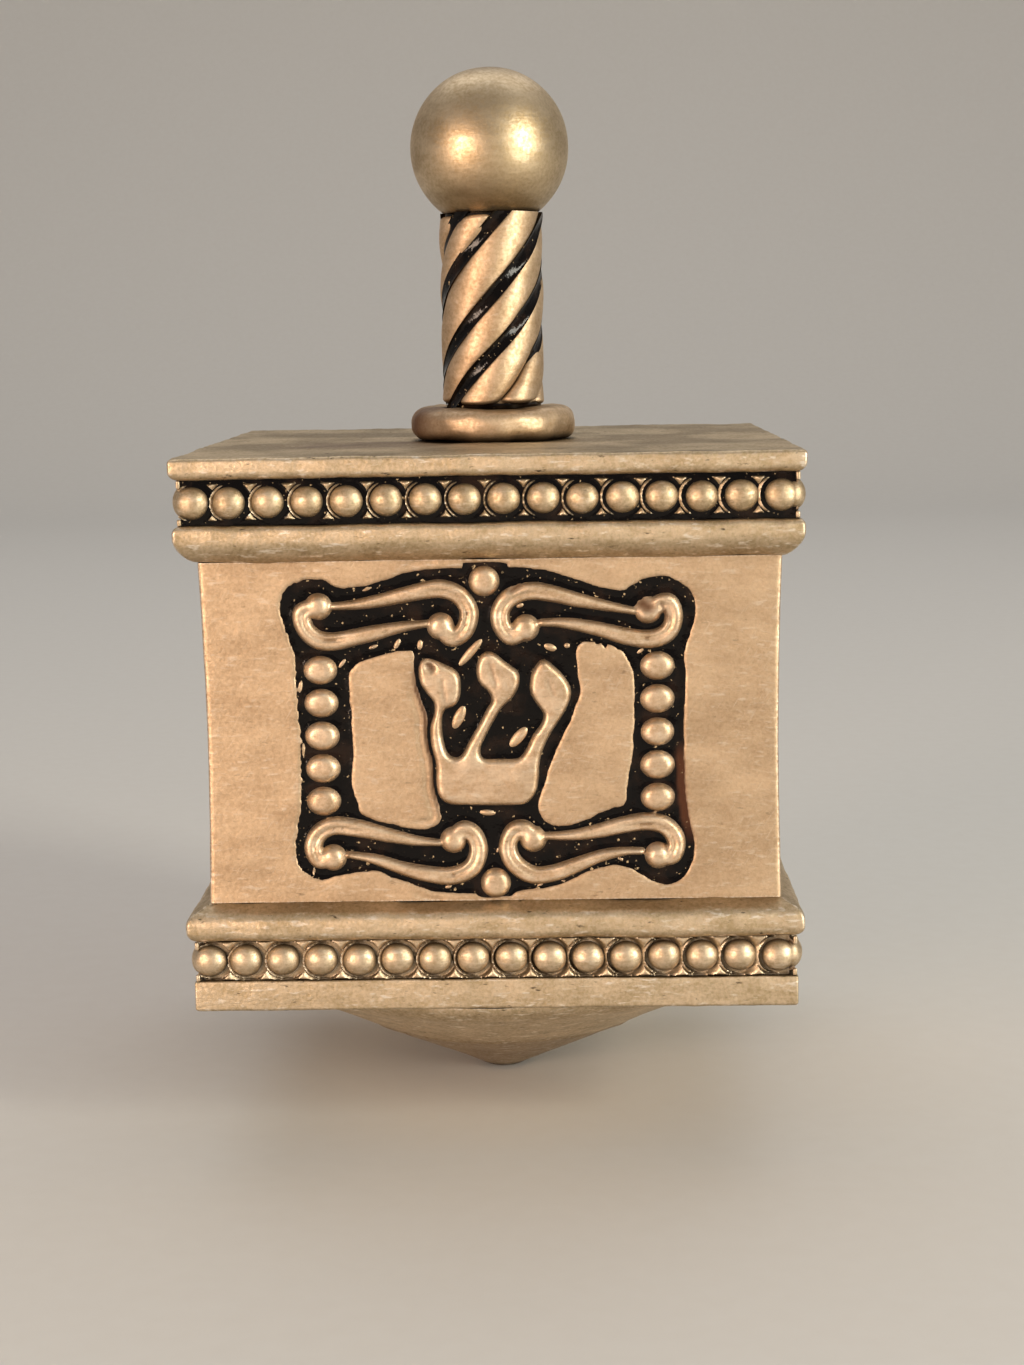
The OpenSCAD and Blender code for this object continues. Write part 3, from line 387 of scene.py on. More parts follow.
# The ball: turned, sanded and lacquered, so it is even and silky with hardly a scratch
SATIN = antiqued_metal(
    "satin_cast_metal", bright="#DDC8A8", worn="#AE9672", patina="#3A2A18", rough=0.45, mottle_mm=3.5,
    patina_share=0.15, grain_bump=0.2, edge_glow=0.4, scuffing=0.08, hair_share=0.0)
# The strands and the collar: rubbed smooth between finger and thumb, bright and barely mottled
STRAND = antiqued_metal(
    "rubbed_strand_metal", bright="#E0C6A6", worn="#B79A78", patina="#3A2A18", rough=0.55, mottle_mm=2.5,
    patina_share=0.15, grain_bump=0.35, edge_glow=0.4, scuffing=0.2, hair_share=0.05)
# Plates, bars and cone: as cast and blackened, so they keep most patina, pits and worn bright edges
ANTIQUE = antiqued_metal(
    "antiqued_cast_metal", bright="#EED8BA", worn="#A9946F", patina="#2B2114", rough=0.5, mottle_mm=2.6,
    patina_share=0.45, grain_bump=0.5, edge_glow=1.0, scuffing=0.85, hair_share=0.1)
# Side panels: flat, sanded and rubbed, with hair scratches of the cloth
PANEL = antiqued_metal(
    "rubbed_panel_metal", bright="#DEC3A2", worn="#B09577", patina="#3A2A18", rough=0.53, mottle_mm=4.5,
    patina_share=0.3, grain_bump=0.35, edge_glow=0.9, scuffing=0.35, hair_share=0.22)
# Scrolls and letters: raised, so the cloth polished their high spots
RELIEF = antiqued_metal(
    "polished_relief_metal", bright="#EBD3B6", worn="#B99C7B", patina="#2A1D10", rough=0.5, mottle_mm=1.8,
    patina_share=0.15, grain_bump=0.3, edge_glow=0.4, scuffing=0.3, hair_share=0.1)
# Upper beads: rubbed, with a rim of black where they meet the enamel
BEAD = antiqued_metal(
    "dark_bead_metal", bright="#E2CCAD", worn="#A28D6C", patina="#20170C", rough=0.53, mottle_mm=1.2,
    patina_share=0.3, grain_bump=0.35, edge_glow=0.6, scuffing=0.35, hair_share=0.0)
# Lower beads: their sockets were left without enamel, so the hollows are brown and not black
BARE_BEAD = antiqued_metal(
    "bare_bead_metal", bright="#EAD5B8", worn="#B39D7D", patina="#4A3822", rough=0.5, mottle_mm=1.2,
    patina_share=0.25, grain_bump=0.35, edge_glow=0.7, scuffing=0.35, hair_share=0.0)
ENAMEL = black_enamel()
STEEL = turned_steel()


# Shapes

def finish(bm, name, nodes, material, sharp=35):
    """Makes the mesh a piece, in metres, that stands for its CAD nodes."""
    bmesh.ops.scale(bm, vec=(MM, MM, MM), verts=bm.verts)
    bmesh.ops.recalc_face_normals(bm, faces=bm.faces)
    mesh = bpy.data.meshes.new(name)
    bm.to_mesh(mesh)
    bm.free()
    mesh.shade_smooth()
    mesh.set_sharp_from_angle(angle=math.radians(sharp))
    mesh.materials.append(material)
    piece = bpy.data.objects.new(name, mesh)
    bpy.context.scene.collection.objects.link(piece)
    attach(piece, "root")
    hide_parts(*nodes)
    return piece


def turned(bm, turns):
    """Turns the front piece of a set of four to its own side."""
    bmesh.ops.rotate(bm, verts=bm.verts, matrix=Matrix.Rotation(math.radians(90 * turns), 3, "Z"))


def wobble(bm, reach, grain):
    """Moves the surface a little, as a hand-finished casting, alike where two pieces touch."""
    for v in bm.verts:
        v.co += noise.noise_vector(v.co / grain) * reach


def round_corners(bm, radius):
    """Rounds the four upright corners of a square piece."""
    for v in bm.verts:
        big = max(abs(v.co.x), abs(v.co.y))
        small = min(abs(v.co.x), abs(v.co.y))
        centre = big - radius
        if centre <= 0 or small <= centre:
            continue
        q = small / big
        lean = 1 + q * q
        way = centre * (1 + q)
        reach = (way + math.sqrt(max(0, way * way - lean * (2 * centre ** 2 - radius ** 2)))) / lean
        v.co.x *= reach / big
        v.co.y *= reach / big


def waist(bm):
    """Draws the four sides in a little between the two mouldings."""
    for v in bm.verts:
        up = (v.co.z - FACE_MID_Z) / (BODY_H / 2)
        share = 1 - WAIST / BODY_HALF * max(0, 1 - up * up)
        v.co.x *= share
        v.co.y *= share


def first_loop(bm, points):
    """A closed loop of edges; each of its vertices keeps its place in the loop."""
    place = bm.verts.layers.int.get("place") or bm.verts.layers.int.new("place")
    verts = [bm.verts.new(p) for p in points]
    for i, v in enumerate(verts):
        v[place] = i
    return [bm.edges.new((verts[i - 1], verts[i])) for i in range(len(verts))]


def next_loop(bm, edges, points):
    """Extrudes a loop of edges to the points of the next loop."""
    place = bm.verts.layers.int["place"]
    grown = bmesh.ops.extrude_edge_only(bm, edges=edges)["geom"]
    verts = {g for g in grown if isinstance(g, bmesh.types.BMVert)}
    for v in verts:
        v.co = points[v[place]]
    return [g for g in grown if isinstance(g, bmesh.types.BMEdge) and set(g.verts) <= verts]


def loft(bm, loops):
    """A closed skin through loops of points, with both ends filled."""
    first = first_loop(bm, loops[0])
    last = first
    for points in loops[1:]:
        last = next_loop(bm, last, points)
    bmesh.ops.contextual_create(bm, geom=first)
    bmesh.ops.contextual_create(bm, geom=last)


def add_mesh_of(bm, part):
    """Puts a part that was built apart into the piece's mesh."""
    mesh = bpy.data.meshes.new("part")
    part.to_mesh(mesh)
    part.free()
    bm.from_mesh(mesh)
    bpy.data.meshes.remove(mesh)


def curve(drawn, closed, n):
    """Smooth curve through drawn points, with n steps from one to the next."""
    p = np.array(drawn, float)
    if closed:
        before, after, beyond = np.roll(p, 1, 0), np.roll(p, -1, 0), np.roll(p, -2, 0)
    else:
        before = np.vstack([p[:1], p[:-2]])
        after = p[1:]
        beyond = np.vstack([p[2:], p[-1:]])
    here = p if closed else p[:-1]
    steps = []
    for k in range(n):
        t = k / n
        steps.append((2 * here + (after - before) * t
                      + (2 * before - 5 * here + 4 * after - beyond) * t ** 2
                      + (3 * here - before - 3 * after + beyond) * t ** 3) / 2)
    line = np.stack(steps, 1).reshape(-1, 2)
    return line if closed else np.vstack([line, p[-1:]])


def arc(centre, radius, start, end, n):
    """Points on an arc, in degrees from across to up."""
    angles = [math.radians(start + (end - start) * i / n) for i in range(n + 1)]
    return [(centre[0] + radius * math.cos(a), centre[1] + radius * math.sin(a)) for a in angles]


# Turned and square pieces

def revolved(profile, steps, ring=False):
    """Spins a profile of (radius, height) points round the axis, with closed poles, or as a closed ring."""
    bm = bmesh.new()
    verts = [bm.verts.new((r, 0, z)) for r, z in profile]
    edges = [bm.edges.new((verts[i], verts[i + 1])) for i in range(len(verts) - 1)]
    if ring:
        edges.append(bm.edges.new((verts[-1], verts[0])))
    bmesh.ops.spin(bm, geom=verts + edges, cent=(0, 0, 0), axis=(0, 0, 1), angle=math.tau, steps=steps,
                   use_merge=True)
    bmesh.ops.remove_doubles(bm, verts=bm.verts, dist=0.0005)
    return bm


def ball_finial():
    """Ball on top, cut flat where it sits on the stem."""
    low, high = BALL
    radius = high.x
    bm = bmesh.new()
    bmesh.ops.create_uvsphere(bm, u_segments=112, v_segments=72, radius=radius,
                              matrix=Matrix.Translation((0, 0, high.z - radius)))
    cut = bmesh.ops.bisect_plane(bm, geom=bm.verts[:] + bm.edges[:] + bm.faces[:],
                                 plane_co=(0, 0, low.z), plane_no=(0, 0, 1), clear_inner=True)
    rim = [g for g in cut["geom_cut"] if isinstance(g, bmesh.types.BMEdge)]
    bmesh.ops.contextual_create(bm, geom=rim)
    wobble(bm, 0.03, 3.0)
    finish(bm, "ball_finial_satin", ["ball_finial"], SATIN)


# Turn of each groove at the foot of the stem, from the front towards the right side, in degrees
GROOVES = [-58, 2, 62, 118, 168, 242]
TWIST = 208
STEM_R = STEM[1].x - 0.1
GROOVE_D = 0.8
STEM_ROWS = 120
# Where each strand stops short of the ball and of the collar, in millimetres
STRAND_TOP_GAPS = [0.2, -0.5, 0.15, 0.1, -0.5, 0.3]
STRAND_FOOT_GAPS = [0.15, 0.3, 0.1, 0.35, 0.2, 0.3]


def groove_turn(number, share):
    """Turn of a groove at a share of the stem's length; the seventh is the first again, once round."""
    laps, groove = divmod(number, len(GROOVES))
    drift = 2.5 * noise.noise((groove * 7.3, share * 4, 0))
    return GROOVES[groove] + 360 * laps + TWIST * share + drift


def stem_point(turn, radius, z):
    """Point of the stem at a turn in degrees from the front towards the right side."""
    a = math.radians(turn)
    return Vector((radius * math.sin(a), -radius * math.cos(a), z))


def twisted_stem():
    """Six crowned strands that climb round the stem, each ending in a rounded tongue."""
    low, high = STEM
    rows = STEM_ROWS
    across = 22
    loops = []
    for row in range(rows + 1):
        share = row / rows
        z = low.z + (high.z - low.z) * share
        points = []
        for strand in range(len(GROOVES)):
            start = groove_turn(strand, share)
            stop = groove_turn(strand + 1, share)
            for k in range(across):
                s = -math.cos(math.pi * k / across)
                crown = (1 - abs(s) ** 2.6) ** 0.5
                # Each strand ends in a rounded tongue
                tongue = 0.35 * abs(s) ** 3
                from_top = high.z - z - STRAND_TOP_GAPS[strand]
                from_foot = z - low.z - STRAND_FOOT_GAPS[strand]
                to_end = min(from_top, from_foot) - tongue
                swell = math.sqrt(max(0, 1 - (1 - min(1, max(0, to_end / 0.35))) ** 2))
                radius = STEM_R - GROOVE_D + GROOVE_D * crown * swell
                points.append(stem_point(start + (stop - start) * (s + 1) / 2, radius, z))
        loops.append(points)
    bm = bmesh.new()
    loft(bm, loops)
    wobble(bm, 0.07, 2.2)
    finish(bm, "twisted_stem_strands", ["twisted_stem"], STRAND, 60)


# Where the enamel in each groove starts along the stem
GROOVE_STARTS = [0, 0.2, 0.1, 0, 0, 0]
# Level of the enamel in each groove
GROOVE_LEVELS = [3.77, 3.72, 3.6, 3.64, 3.72, 3.77]
# Radius at its back and where it runs out, and half its turn in degrees
FILL_BACK_R = 3
FILL_END_R = 3.2
FILL_HALF_TURN = 10


def stem_enamel():
    """Black enamel in the grooves between the strands, and its broken rings at both ends."""
    low, high = STEM
    bm = bmesh.new()
    for groove, (begin, level) in enumerate(zip(GROOVE_STARTS, GROOVE_LEVELS)):
        loops = []
        first = round(begin * STEM_ROWS)
        for row in range(first, STEM_ROWS + 1):
            share = row / STEM_ROWS
            z = low.z + (high.z - low.z) * share
            middle = groove_turn(groove, share)
            rise = min(1, (row - first) / 12) if begin else 1
            flow = 0.07 * noise.noise((groove * 3.1, share * 7, 2)) + 0.16 * max(0, share * 10 - 9)
            radius = FILL_END_R + (level + flow - FILL_END_R) * math.sqrt(rise)
            points = []
            for k in range(13):
                s = k / 6 - 1
                points.append(stem_point(middle + FILL_HALF_TURN * s, radius + 0.12 * abs(s) ** 3, z))
            points += [stem_point(middle + FILL_HALF_TURN, FILL_BACK_R, z),
                       stem_point(middle - FILL_HALF_TURN, FILL_BACK_R, z)]
            loops.append(points)
        loft(bm, loops)
    # Broken black rings at the foot and under the ball
    for z, thick in ((low.z, 0.34), (high.z - 0.36, 0.36)):
        profile = [(FILL_BACK_R, z), (3.66, z), (3.7, z + thick * 0.6), (3.6, z + thick),
                   (FILL_BACK_R, z + thick)]
        ring = revolved(profile, 96, ring=True)
        for v in ring.verts:
            if v.co.xy.length > 3.5:
                stray = noise.noise((v.co.x / 1.3, v.co.y / 1.3, z))
                v.co.xy *= 1 + 0.05 * stray
        add_mesh_of(bm, ring)
    finish(bm, "stem_enamel_fill", ["stem_enamel"], ENAMEL)


def stem_collar():
    """Lumpy rounded button under the stem, darkened on its left as painted shade."""
    low, high = COLLAR
    r = high.x
    thick = high.z - low.z
    bore = 1.55
    foot_r = 1.1
    top_r = 1.05
    profile = [(bore, low.z), (r - foot_r, low.z)]
    profile += arc((r - foot_r, low.z + foot_r), foot_r, -90, 0, 8)[1:]
    profile += arc((r - top_r, high.z - top_r), top_r, 0, 90, 8)
    profile += [(r - 1.8, high.z), (4.2, high.z - 0.02), (bore, high.z), (bore, low.z + thick / 2)]
    bm = revolved(profile, 120, ring=True)
    # Painted shade: brown is laid over the collar's left side
    stain_and_shade_layer = bm.verts.layers.float.new("stain_and_shade")
    for v in bm.verts:
        turn = math.degrees(math.atan2(v.co.x, -v.co.y))
        v[stain_and_shade_layer] = math.exp(-((turn + 70) / 24) ** 2) * min(1, v.co.xy.length / r)
    wobble(bm, 0.26, 3.2)
    wobble(bm, 0.09, 1.1)
    finish(bm, "stem_collar_button", ["stem_collar"], STRAND)


def square_loop(half, corner, z):
    """Points of a square with rounded corners, round from the front left."""
    along = 120
    round_steps = 5
    corner = min(corner, half * 0.9)
    points = []
    for quarter in range(4):
        turn = Matrix.Rotation(math.radians(90 * quarter), 3, "Z")
        for i in range(along):
            points.append(turn @ Vector(((half - corner) * (2 * i / along - 1), -half, z)))
        for x, y in arc((half - corner, corner - half), corner, -90, 0, round_steps)[:-1]:
            points.append(turn @ Vector((x, y, z)))
    return points


def square_plate(low_z, high_z, half, low_r, high_r, corner):
    """Square plate with rounded edges, closed above and below."""
    shares = [0.04, 0.12, 0.2, 0.3, 0.4, 0.5, 0.6, 0.7, 0.8, 0.88, 0.93, 0.96]
    outer = arc((half - low_r, low_z + low_r), low_r, -90, 0, 6)
    outer += arc((half - high_r, high_z - high_r), high_r, 0, 90, 6)
    profile = [(half * s, low_z) for s in shares] + outer + [(half * s, high_z) for s in shares[::-1]]
    bm = bmesh.new()
    loft(bm, [square_loop(r, corner, z) for r, z in profile])
    return bm


def cap_plate():
    """Square slab on top, more rounded below than above."""
    low, high = CAP_PLATE
    bm = square_plate(low.z, high.z, high.x, 0.62, 0.3, 0.2)
    # Dark patch in front of the collar on its left
    stain_and_shade_layer = bm.verts.layers.float.new("stain_and_shade")
    for v in bm.verts:
        if v.co.z > high.z - 0.1:
            patchy = 0.6 + 0.4 * noise.noise(v.co / 2.5)
            v[stain_and_shade_layer] = patchy * math.exp(-((v.co.x + 9.3) / 6.5) ** 4 - ((v.co.y + 7) / 5) ** 4)
    wobble(bm, 0.09, 5.0)
    wobble(bm, 0.05, 1.0)
    finish(bm, "cap_plate_slab", ["cap_plate"], ANTIQUE)


def base_plate():
    """Square slab under the lower beads, with crisp edges."""
    low, high = BASE_PLATE
    bm = square_plate(low.z, high.z, high.x, 0.25, 0.15, 0.15)
    wobble(bm, 0.05, 5.0)
    wobble(bm, 0.035, 1.0)
    finish(bm, "base_plate_slab", ["base_plate"], ANTIQUE)


# Rounding of the bars' mitred corners
BAR_CORNER_R = 0.28


def mitred_length(profile):
    """Length along the front with a closed profile of (out, up) points and 45 degree ends."""
    loops = []
    for i in range(145):
        t = math.sin(math.pi / 2 * (i / 72 - 1))
        loops.append([Vector((t * out, -out, z)) for out, z in profile])
    bm = bmesh.new()
    loft(bm, loops)
    return bm


def cap_moulding(turns):
    """Bar under the upper beads: a quarter round that swells towards its top."""
    low, high = CAP_MOULD
    out = -low.y
    inner = CAVITY_HALF
    profile = [(inner, low.z), (inner + 1, low.z), (out - 1.42, low.z)]
    profile += [(out - 1.2, low.z + 0.07), (out - 0.88, low.z + 0.27), (out - 0.55, low.z + 0.58),
                (out - 0.26, low.z + 0.95), (out - 0.08, low.z + 1.3), (out, low.z + 1.65)]
    profile += arc((out - 0.5, high.z - 0.5), 0.5, 0, 90, 6)
    profile += [(inner + 1, high.z), (inner, high.z)]
    bm = mitred_length(profile)
    round_corners(bm, BAR_CORNER_R)
    turned(bm, turns)
    wobble(bm, 0.1, 4.2)
    wobble(bm, 0.045, 0.9)
    side = SIDES[turns]
    finish(bm, f"cap_moulding_{side}_bar", [f"cap_moulding_{side}"], ANTIQUE)


def base_moulding(turns):
    """Bar over the lower beads: a half round under a sloped shoulder."""
    low, high = BASE_MOULD
    out = -low.y
    inner = CAVITY_HALF
    shoulder = 0.4
    profile = [(inner, low.z), (inner + 1, low.z), (out - 0.8, low.z)]
    profile += arc((out - 0.8, low.z + 0.8), 0.8, -90, 0, 6)[1:]
    profile += arc((out - 0.95, high.z - shoulder - 0.95), 0.95, 0, 78, 6)
    profile += [(BODY_HALF + 0.05, high.z - 0.03), (BODY_HALF - 0.3, high.z), (inner, high.z)]
    bm = mitred_length(profile)
    round_corners(bm, BAR_CORNER_R)
    turned(bm, turns)
    wobble(bm, 0.09, 4.2)
    wobble(bm, 0.04, 0.9)
    side = SIDES[turns]
    finish(bm, f"base_moulding_{side}_bar", [f"base_moulding_{side}"], ANTIQUE)


def point_cone():
    """Shallow cone with a blunt nose; its outer belt is lifted out of the painted underside shade, a painted
    sheen with rubbed wear at its ridge, and its middle is darkened as painted shade.
    """
    low, high = CONE
    r = BASE_PLATE[1].x - 0.2
    z = BASE_PLATE[0].z
    nose = 4.2
    slope = 0.5
    profile = [(x, nose - math.sqrt(nose ** 2 - x ** 2)) for x in (0, 0.3, 0.6, 0.9, 1.2, 1.5, 1.8)]
    profile += [(w, slope * w - 0.47) for w in (2.1, 2.6, 3.3, 4, 5, 6, 7, 8, 9, 10, 10.8)]
    # Below its lighter outer belt the turned face steps in a little
    profile += [(11.2, 5.13), (11.45, 5.2), (11.6, 5.36), (11.8, 5.5)]
    profile += [(w, slope * w - 0.4) for w in (12.4, 13.5, 15, 16.5, 18, 19.4, 20.3)]
    profile += [(20.8, 10.12), (r - 0.08, 10.6), (r, z), (5, z), (5, high.z), (0, high.z)]
    bm = revolved(profile, 160)
    rubbed = bm.verts.layers.float.new("belt_sheen_and_wear")
    stain_and_shade_layer = bm.verts.layers.float.new("stain_and_shade")
    for v in bm.verts:
        out = v.co.xy.length
        patchy = 0.5 + 0.5 * noise.noise(v.co / 2.1)
        # Painted sheen: the outer belt is lifted out of the painted underside shade, with rubbed wear along
        # the ridge; painted shade darkens the middle
        belt = min(1, max(0, (out - 11.6 + 0.7 * patchy) / 0.7))
        v[rubbed] = belt * (0.55 + 0.3 * patchy) + 0.35 * math.exp(-((out - 11.7) / 0.4) ** 2) * patchy
        v[stain_and_shade_layer] = (0.3 + 0.3 * patchy) * (1 - belt)
    wobble(bm, 0.09, 4.0)
    wobble(bm, 0.04, 1.0)
    finish(bm, "point_cone_turned", ["point_cone"], ANTIQUE, 50)


# Fields of the relief: numbers at the points of a grid, in millimetres across and up the panel

def drop(distance, steepness, softness=0.05):
    """Falls away past an edge at a steady slope, with a soft turn at the edge."""
    return steepness * softness * np.logaddexp(0, distance / softness)


def lumps(x, z, size, seed):
    """Noise from -1 to 1 with lumps of a size in millimetres."""
    return np.array([noise.noise((a / size, b / size, seed)) for a, b in zip(x, z)])


def inside_distance(x, z, outline):
    """Distance from a closed outline, positive inside it."""
    near = np.full(x.shape, 1e9)
    inside = np.zeros(x.shape, bool)
    for (ax, az), (bx, bz) in zip(outline, np.roll(outline, -1, 0)):
        dx = bx - ax
        dz = bz - az
        t = np.clip(((x - ax) * dx + (z - az) * dz) / (dx * dx + dz * dz), 0, 1)
        near = np.minimum(near, np.hypot(x - ax - t * dx, z - az - t * dz))
        crosses = (az > z) != (bz > z)
        inside ^= crosses & (x < ax + (z - az) * dx / (dz if dz else 1))
    return np.where(inside, near, -near)


def line_distance(x, z, line):
    """Distance from an open line, the share of the line there, and the distance to its left."""
    near = np.full(x.shape, 1e9)
    share = np.zeros(x.shape)
    left = np.zeros(x.shape)
    lengths = np.hypot(*np.diff(line, axis=0).T)
    reached = np.concatenate([[0], np.cumsum(lengths)])
    for i, length in enumerate(lengths):
        ax, az = line[i]
        dx, dz = line[i + 1] - line[i]
        t = np.clip(((x - ax) * dx + (z - az) * dz) / length ** 2, 0, 1)
        off = np.hypot(x - ax - t * dx, z - az - t * dz)
        nearer = off < near
        near = np.where(nearer, off, near)
        share = np.where(nearer, (reached[i] + t * length) / reached[-1], share)
        left = np.where(nearer, np.sign(dx * (z - az) - dz * (x - ax)) * off, left)
    return near, share, left


def scroll_field(x, z):
    """Height of the scrolls and beads, and the distance outside them."""
    height = np.full(x.shape, -9.0)
    outside = np.full(x.shape, 9.0)
    for number, drawn in enumerate(SCROLLS):
        line = curve(drawn, False, 6)
        near, share, left = line_distance(x, z, line)
        steps = np.diff(line, axis=0)
        turning = np.sign(np.sum(steps[:-1, 0] * steps[1:, 1] - steps[:-1, 1] * steps[1:, 0]))
        half = SCROLL_W / 2 * (TAIL_SHARE + (1 - TAIL_SHARE) * np.sin(
            math.pi / 2 * np.minimum(1, share / SWELL_SHARE)))
        half = half * (1 + 0.08 * lumps(x, z, 2.2, number))
        beyond = near - half
        bevel = np.minimum(0.16, half * 0.5)
        top = SCROLL_LEVEL - 0.12 * (1 - share) + 0.03 * (1 - (near / half) ** 2)
        tube = top - drop(beyond + bevel, 2.9)
        # A crease runs along the inside of the curl
        curl = np.clip((share - 0.42) / 0.14, 0, 1) * np.clip((0.96 - share) / 0.06, 0, 1)
        tube = tube - 0.16 * curl * np.exp(-((left * turning - 0.14) / 0.11) ** 2)
        end = line[-1]
        off = np.hypot(x - end[0], z - end[1])
        dome = SCROLL_LEVEL + 0.12 - 0.72 * (off / SCROLL_BALL_R) ** 3.4
        height = np.maximum(height, np.maximum(tube, dome))
        outside = np.minimum(outside, np.minimum(beyond, off - SCROLL_BALL_R))
    beads = [(p, (MIDDLE_BEAD_R, MIDDLE_BEAD_R)) for p in MIDDLE_BEADS]
    beads += [(p, SIDE_BEAD_R) for p in SIDE_BEADS]
    for number, (p, (a, b)) in enumerate(beads):
        size = 1 + 0.04 * noise.noise((number * 1.7, 0.3, 0))
        ring = np.sqrt(((x - p[0]) / a) ** 2 + ((z - p[1]) / b) ** 2) / size
        height = np.maximum(height, 0.5 - 0.65 * ring ** 4.6)
        outside = np.minimum(outside, (ring - 1) * min(a, b))
    return height, outside


def crease_field(x, z, creases):
    """Depth and stain that a list of short creases gives the surface."""
    depth = np.zeros(x.shape)
    stain_and_shade = np.zeros(x.shape)
    for ax, az, bx, bz, half, deep, brown in creases:
        near = line_distance(x, z, np.array([[ax, az], [bx, bz]]))[0]
        mark = np.exp(-(near / half) ** 2)
        depth = np.maximum(depth, deep * mark)
        stain_and_shade = np.maximum(stain_and_shade, brown * mark)
    return depth, stain_and_shade


def metal_bits(x, z, bits):
    """Height of the small bits of metal that show through the enamel."""
    height = np.full(x.shape, -9.0)
    for across, up, length, width, tilt in bits:
        c = math.cos(math.radians(tilt))
        s = math.sin(math.radians(tilt))
        u = ((x - across) * c + (z - up) * s) / (length / 2)
        v = ((z - up) * c - (x - across) * s) / (width / 2)
        height = np.maximum(height, 0.0 - 1.6 * drop((np.hypot(u, v) - 0.8) * width / 2, 1.0))
    return height


def grid_lines():
    """Lines across and up the panel: fine over the relief, coarser beside it, fine again at the corners."""
    relief_half = 15.3
    fine = np.linspace(-relief_half, relief_half, round(2 * relief_half / GRID) + 1)
    drawn_half = 20.4
    margin = [16.2, 17.2, 18.2, 19, 19.6, 20.0, 20.2, 20.3, 20.37]
    margin = [m * BODY_HALF / drawn_half for m in margin] + [BODY_HALF]
    xs = np.concatenate([-np.array(margin[::-1]), fine, margin])
    zs = np.linspace(-BODY_H / 2, BODY_H / 2, round(BODY_H / GRID) + 1)
    return xs, zs


XS, ZS = grid_lines()
GRID_X, GRID_Z = [g.ravel() for g in np.meshgrid(XS, ZS)]
SCROLL_H, SCROLL_OUT = scroll_field(GRID_X, GRID_Z)
BITS_H = metal_bits(GRID_X, GRID_Z, METAL_BITS)
FRONT_BITS_H = metal_bits(GRID_X, GRID_Z, METAL_BITS + SHIN_BITS)


def pool_distance(side):
    """Distance inside the enamel's own area, with the gently irregular edge of a hand-filled pool."""
    seed = SIDES.index(side) * 5
    left = inside_distance(GRID_X, GRID_Z, curve(LEFT_ISLAND, True, 4))
    if side == "front":
        right = inside_distance(GRID_X, GRID_Z, curve(RIGHT_ISLAND, True, 4))
    else:
        right = inside_distance(-GRID_X, GRID_Z, curve(LEFT_ISLAND, True, 4))
    pool = inside_distance(GRID_X, GRID_Z, curve(POOL, True, 4))
    rough = 0.05 + 0.09 * np.clip((-12.5 - GRID_X) / 0.5, 0, 1)
    ragged = 0.09 * lumps(GRID_X, GRID_Z, 1.1, seed) + rough * lumps(GRID_X, GRID_Z, 0.4, seed + 1)
    # Nicks of the scraper along the top of the right island
    across = np.clip((GRID_X - 5.8) / 0.4, 0, 1) * np.clip((10.2 - GRID_X) / 0.4, 0, 1)
    nicks = np.maximum(0, lumps(GRID_X, GRID_Z / 8, 0.3, seed + 2) - 0.05) * across
    ragged = ragged + 0.7 * nicks * np.exp(-((GRID_Z - 5.9) / 0.7) ** 2)
    return np.minimum(pool, np.minimum(-left, -right)) + ragged


def brown_margin():
    """Where the lacquer lies thin and brown: low on the right of the pool."""
    height = np.clip((-0.8 - GRID_Z) / 1.5, 0, 1) * np.clip((GRID_Z + 8.5) / 2, 0, 1)
    return np.clip((GRID_X - 12.4) / 0.8, 0, 1) * height


def stain_field(pool):
    """Brown lacquer past the pool's edge: a thin line all round, wider on the right and by the letter."""
    past = np.maximum(-pool, 0)
    beside = np.clip((GRID_X + 6) / 0.6, 0, 1) * np.clip((-3.6 - GRID_X) / 0.3, 0, 1)
    beside = beside * np.clip((6 - np.abs(GRID_Z + 0.8)) / 1.5, 0, 1)
    patchy = 0.7 + 0.3 * np.clip(lumps(GRID_X, GRID_Z, 1.7, 41) * 2 + 0.5, 0, 1)
    thin = 0.55 * np.exp(-(past / 0.1) ** 2)
    seam = 0.8 * np.exp(-((past - 0.2) / 0.09) ** 2) + 0.45 * np.exp(-(past / 0.65) ** 4)
    stain_and_shade = thin + patchy * (0.8 * brown_margin() * np.exp(-(past / 0.2) ** 2) + beside * seam)
    return np.clip(stain_and_shade, 0, 1) * (pool < 0.06)


def relief_grid(keep, stain_and_shade=None):
    """Flat grid on the panel's lines, without the points that aren't kept, with its stain."""
    bm = bmesh.new()
    place = bm.verts.layers.int.new("place")
    stain_and_shade_layer = bm.verts.layers.float.new("stain_and_shade")
    bmesh.ops.create_grid(bm, x_segments=len(XS) - 1, y_segments=len(ZS) - 1, size=1)
    for v in bm.verts:
        column = round((v.co.x + 1) / 2 * (len(XS) - 1))
        row = round((v.co.y + 1) / 2 * (len(ZS) - 1))
        v[place] = row * len(XS) + column
        v[stain_and_shade_layer] = 0 if stain_and_shade is None else stain_and_shade[v[place]]
        v.co = (XS[column], 0, ZS[row])
    if keep is not None:
        lost = [v for v in bm.verts if not keep[v[place]]]
        bmesh.ops.delete(bm, geom=lost, context="VERTS")
        loose = [v for v in bm.verts if not v.link_faces]
        bmesh.ops.delete(bm, geom=loose, context="VERTS")
    return bm


def slab(bm, heights, back):
    """Gives a flat grid its relief in front and a flat back, closed all round."""
    place = bm.verts.layers.int["place"]
    grown = bmesh.ops.extrude_face_region(bm, geom=bm.faces[:], use_keep_orig=True)["geom"]
    front = {g for g in grown if isinstance(g, bmesh.types.BMVert)}
    for v in bm.verts:
        v.co.y = -heights[v[place]] if v in front else -back
    place_on_side(bm)


def place_on_side(bm):
    """From the panel's own frame to the front of the body."""
    bmesh.ops.translate(bm, verts=bm.verts, vec=(0, -BODY_HALF, FACE_MID_Z))


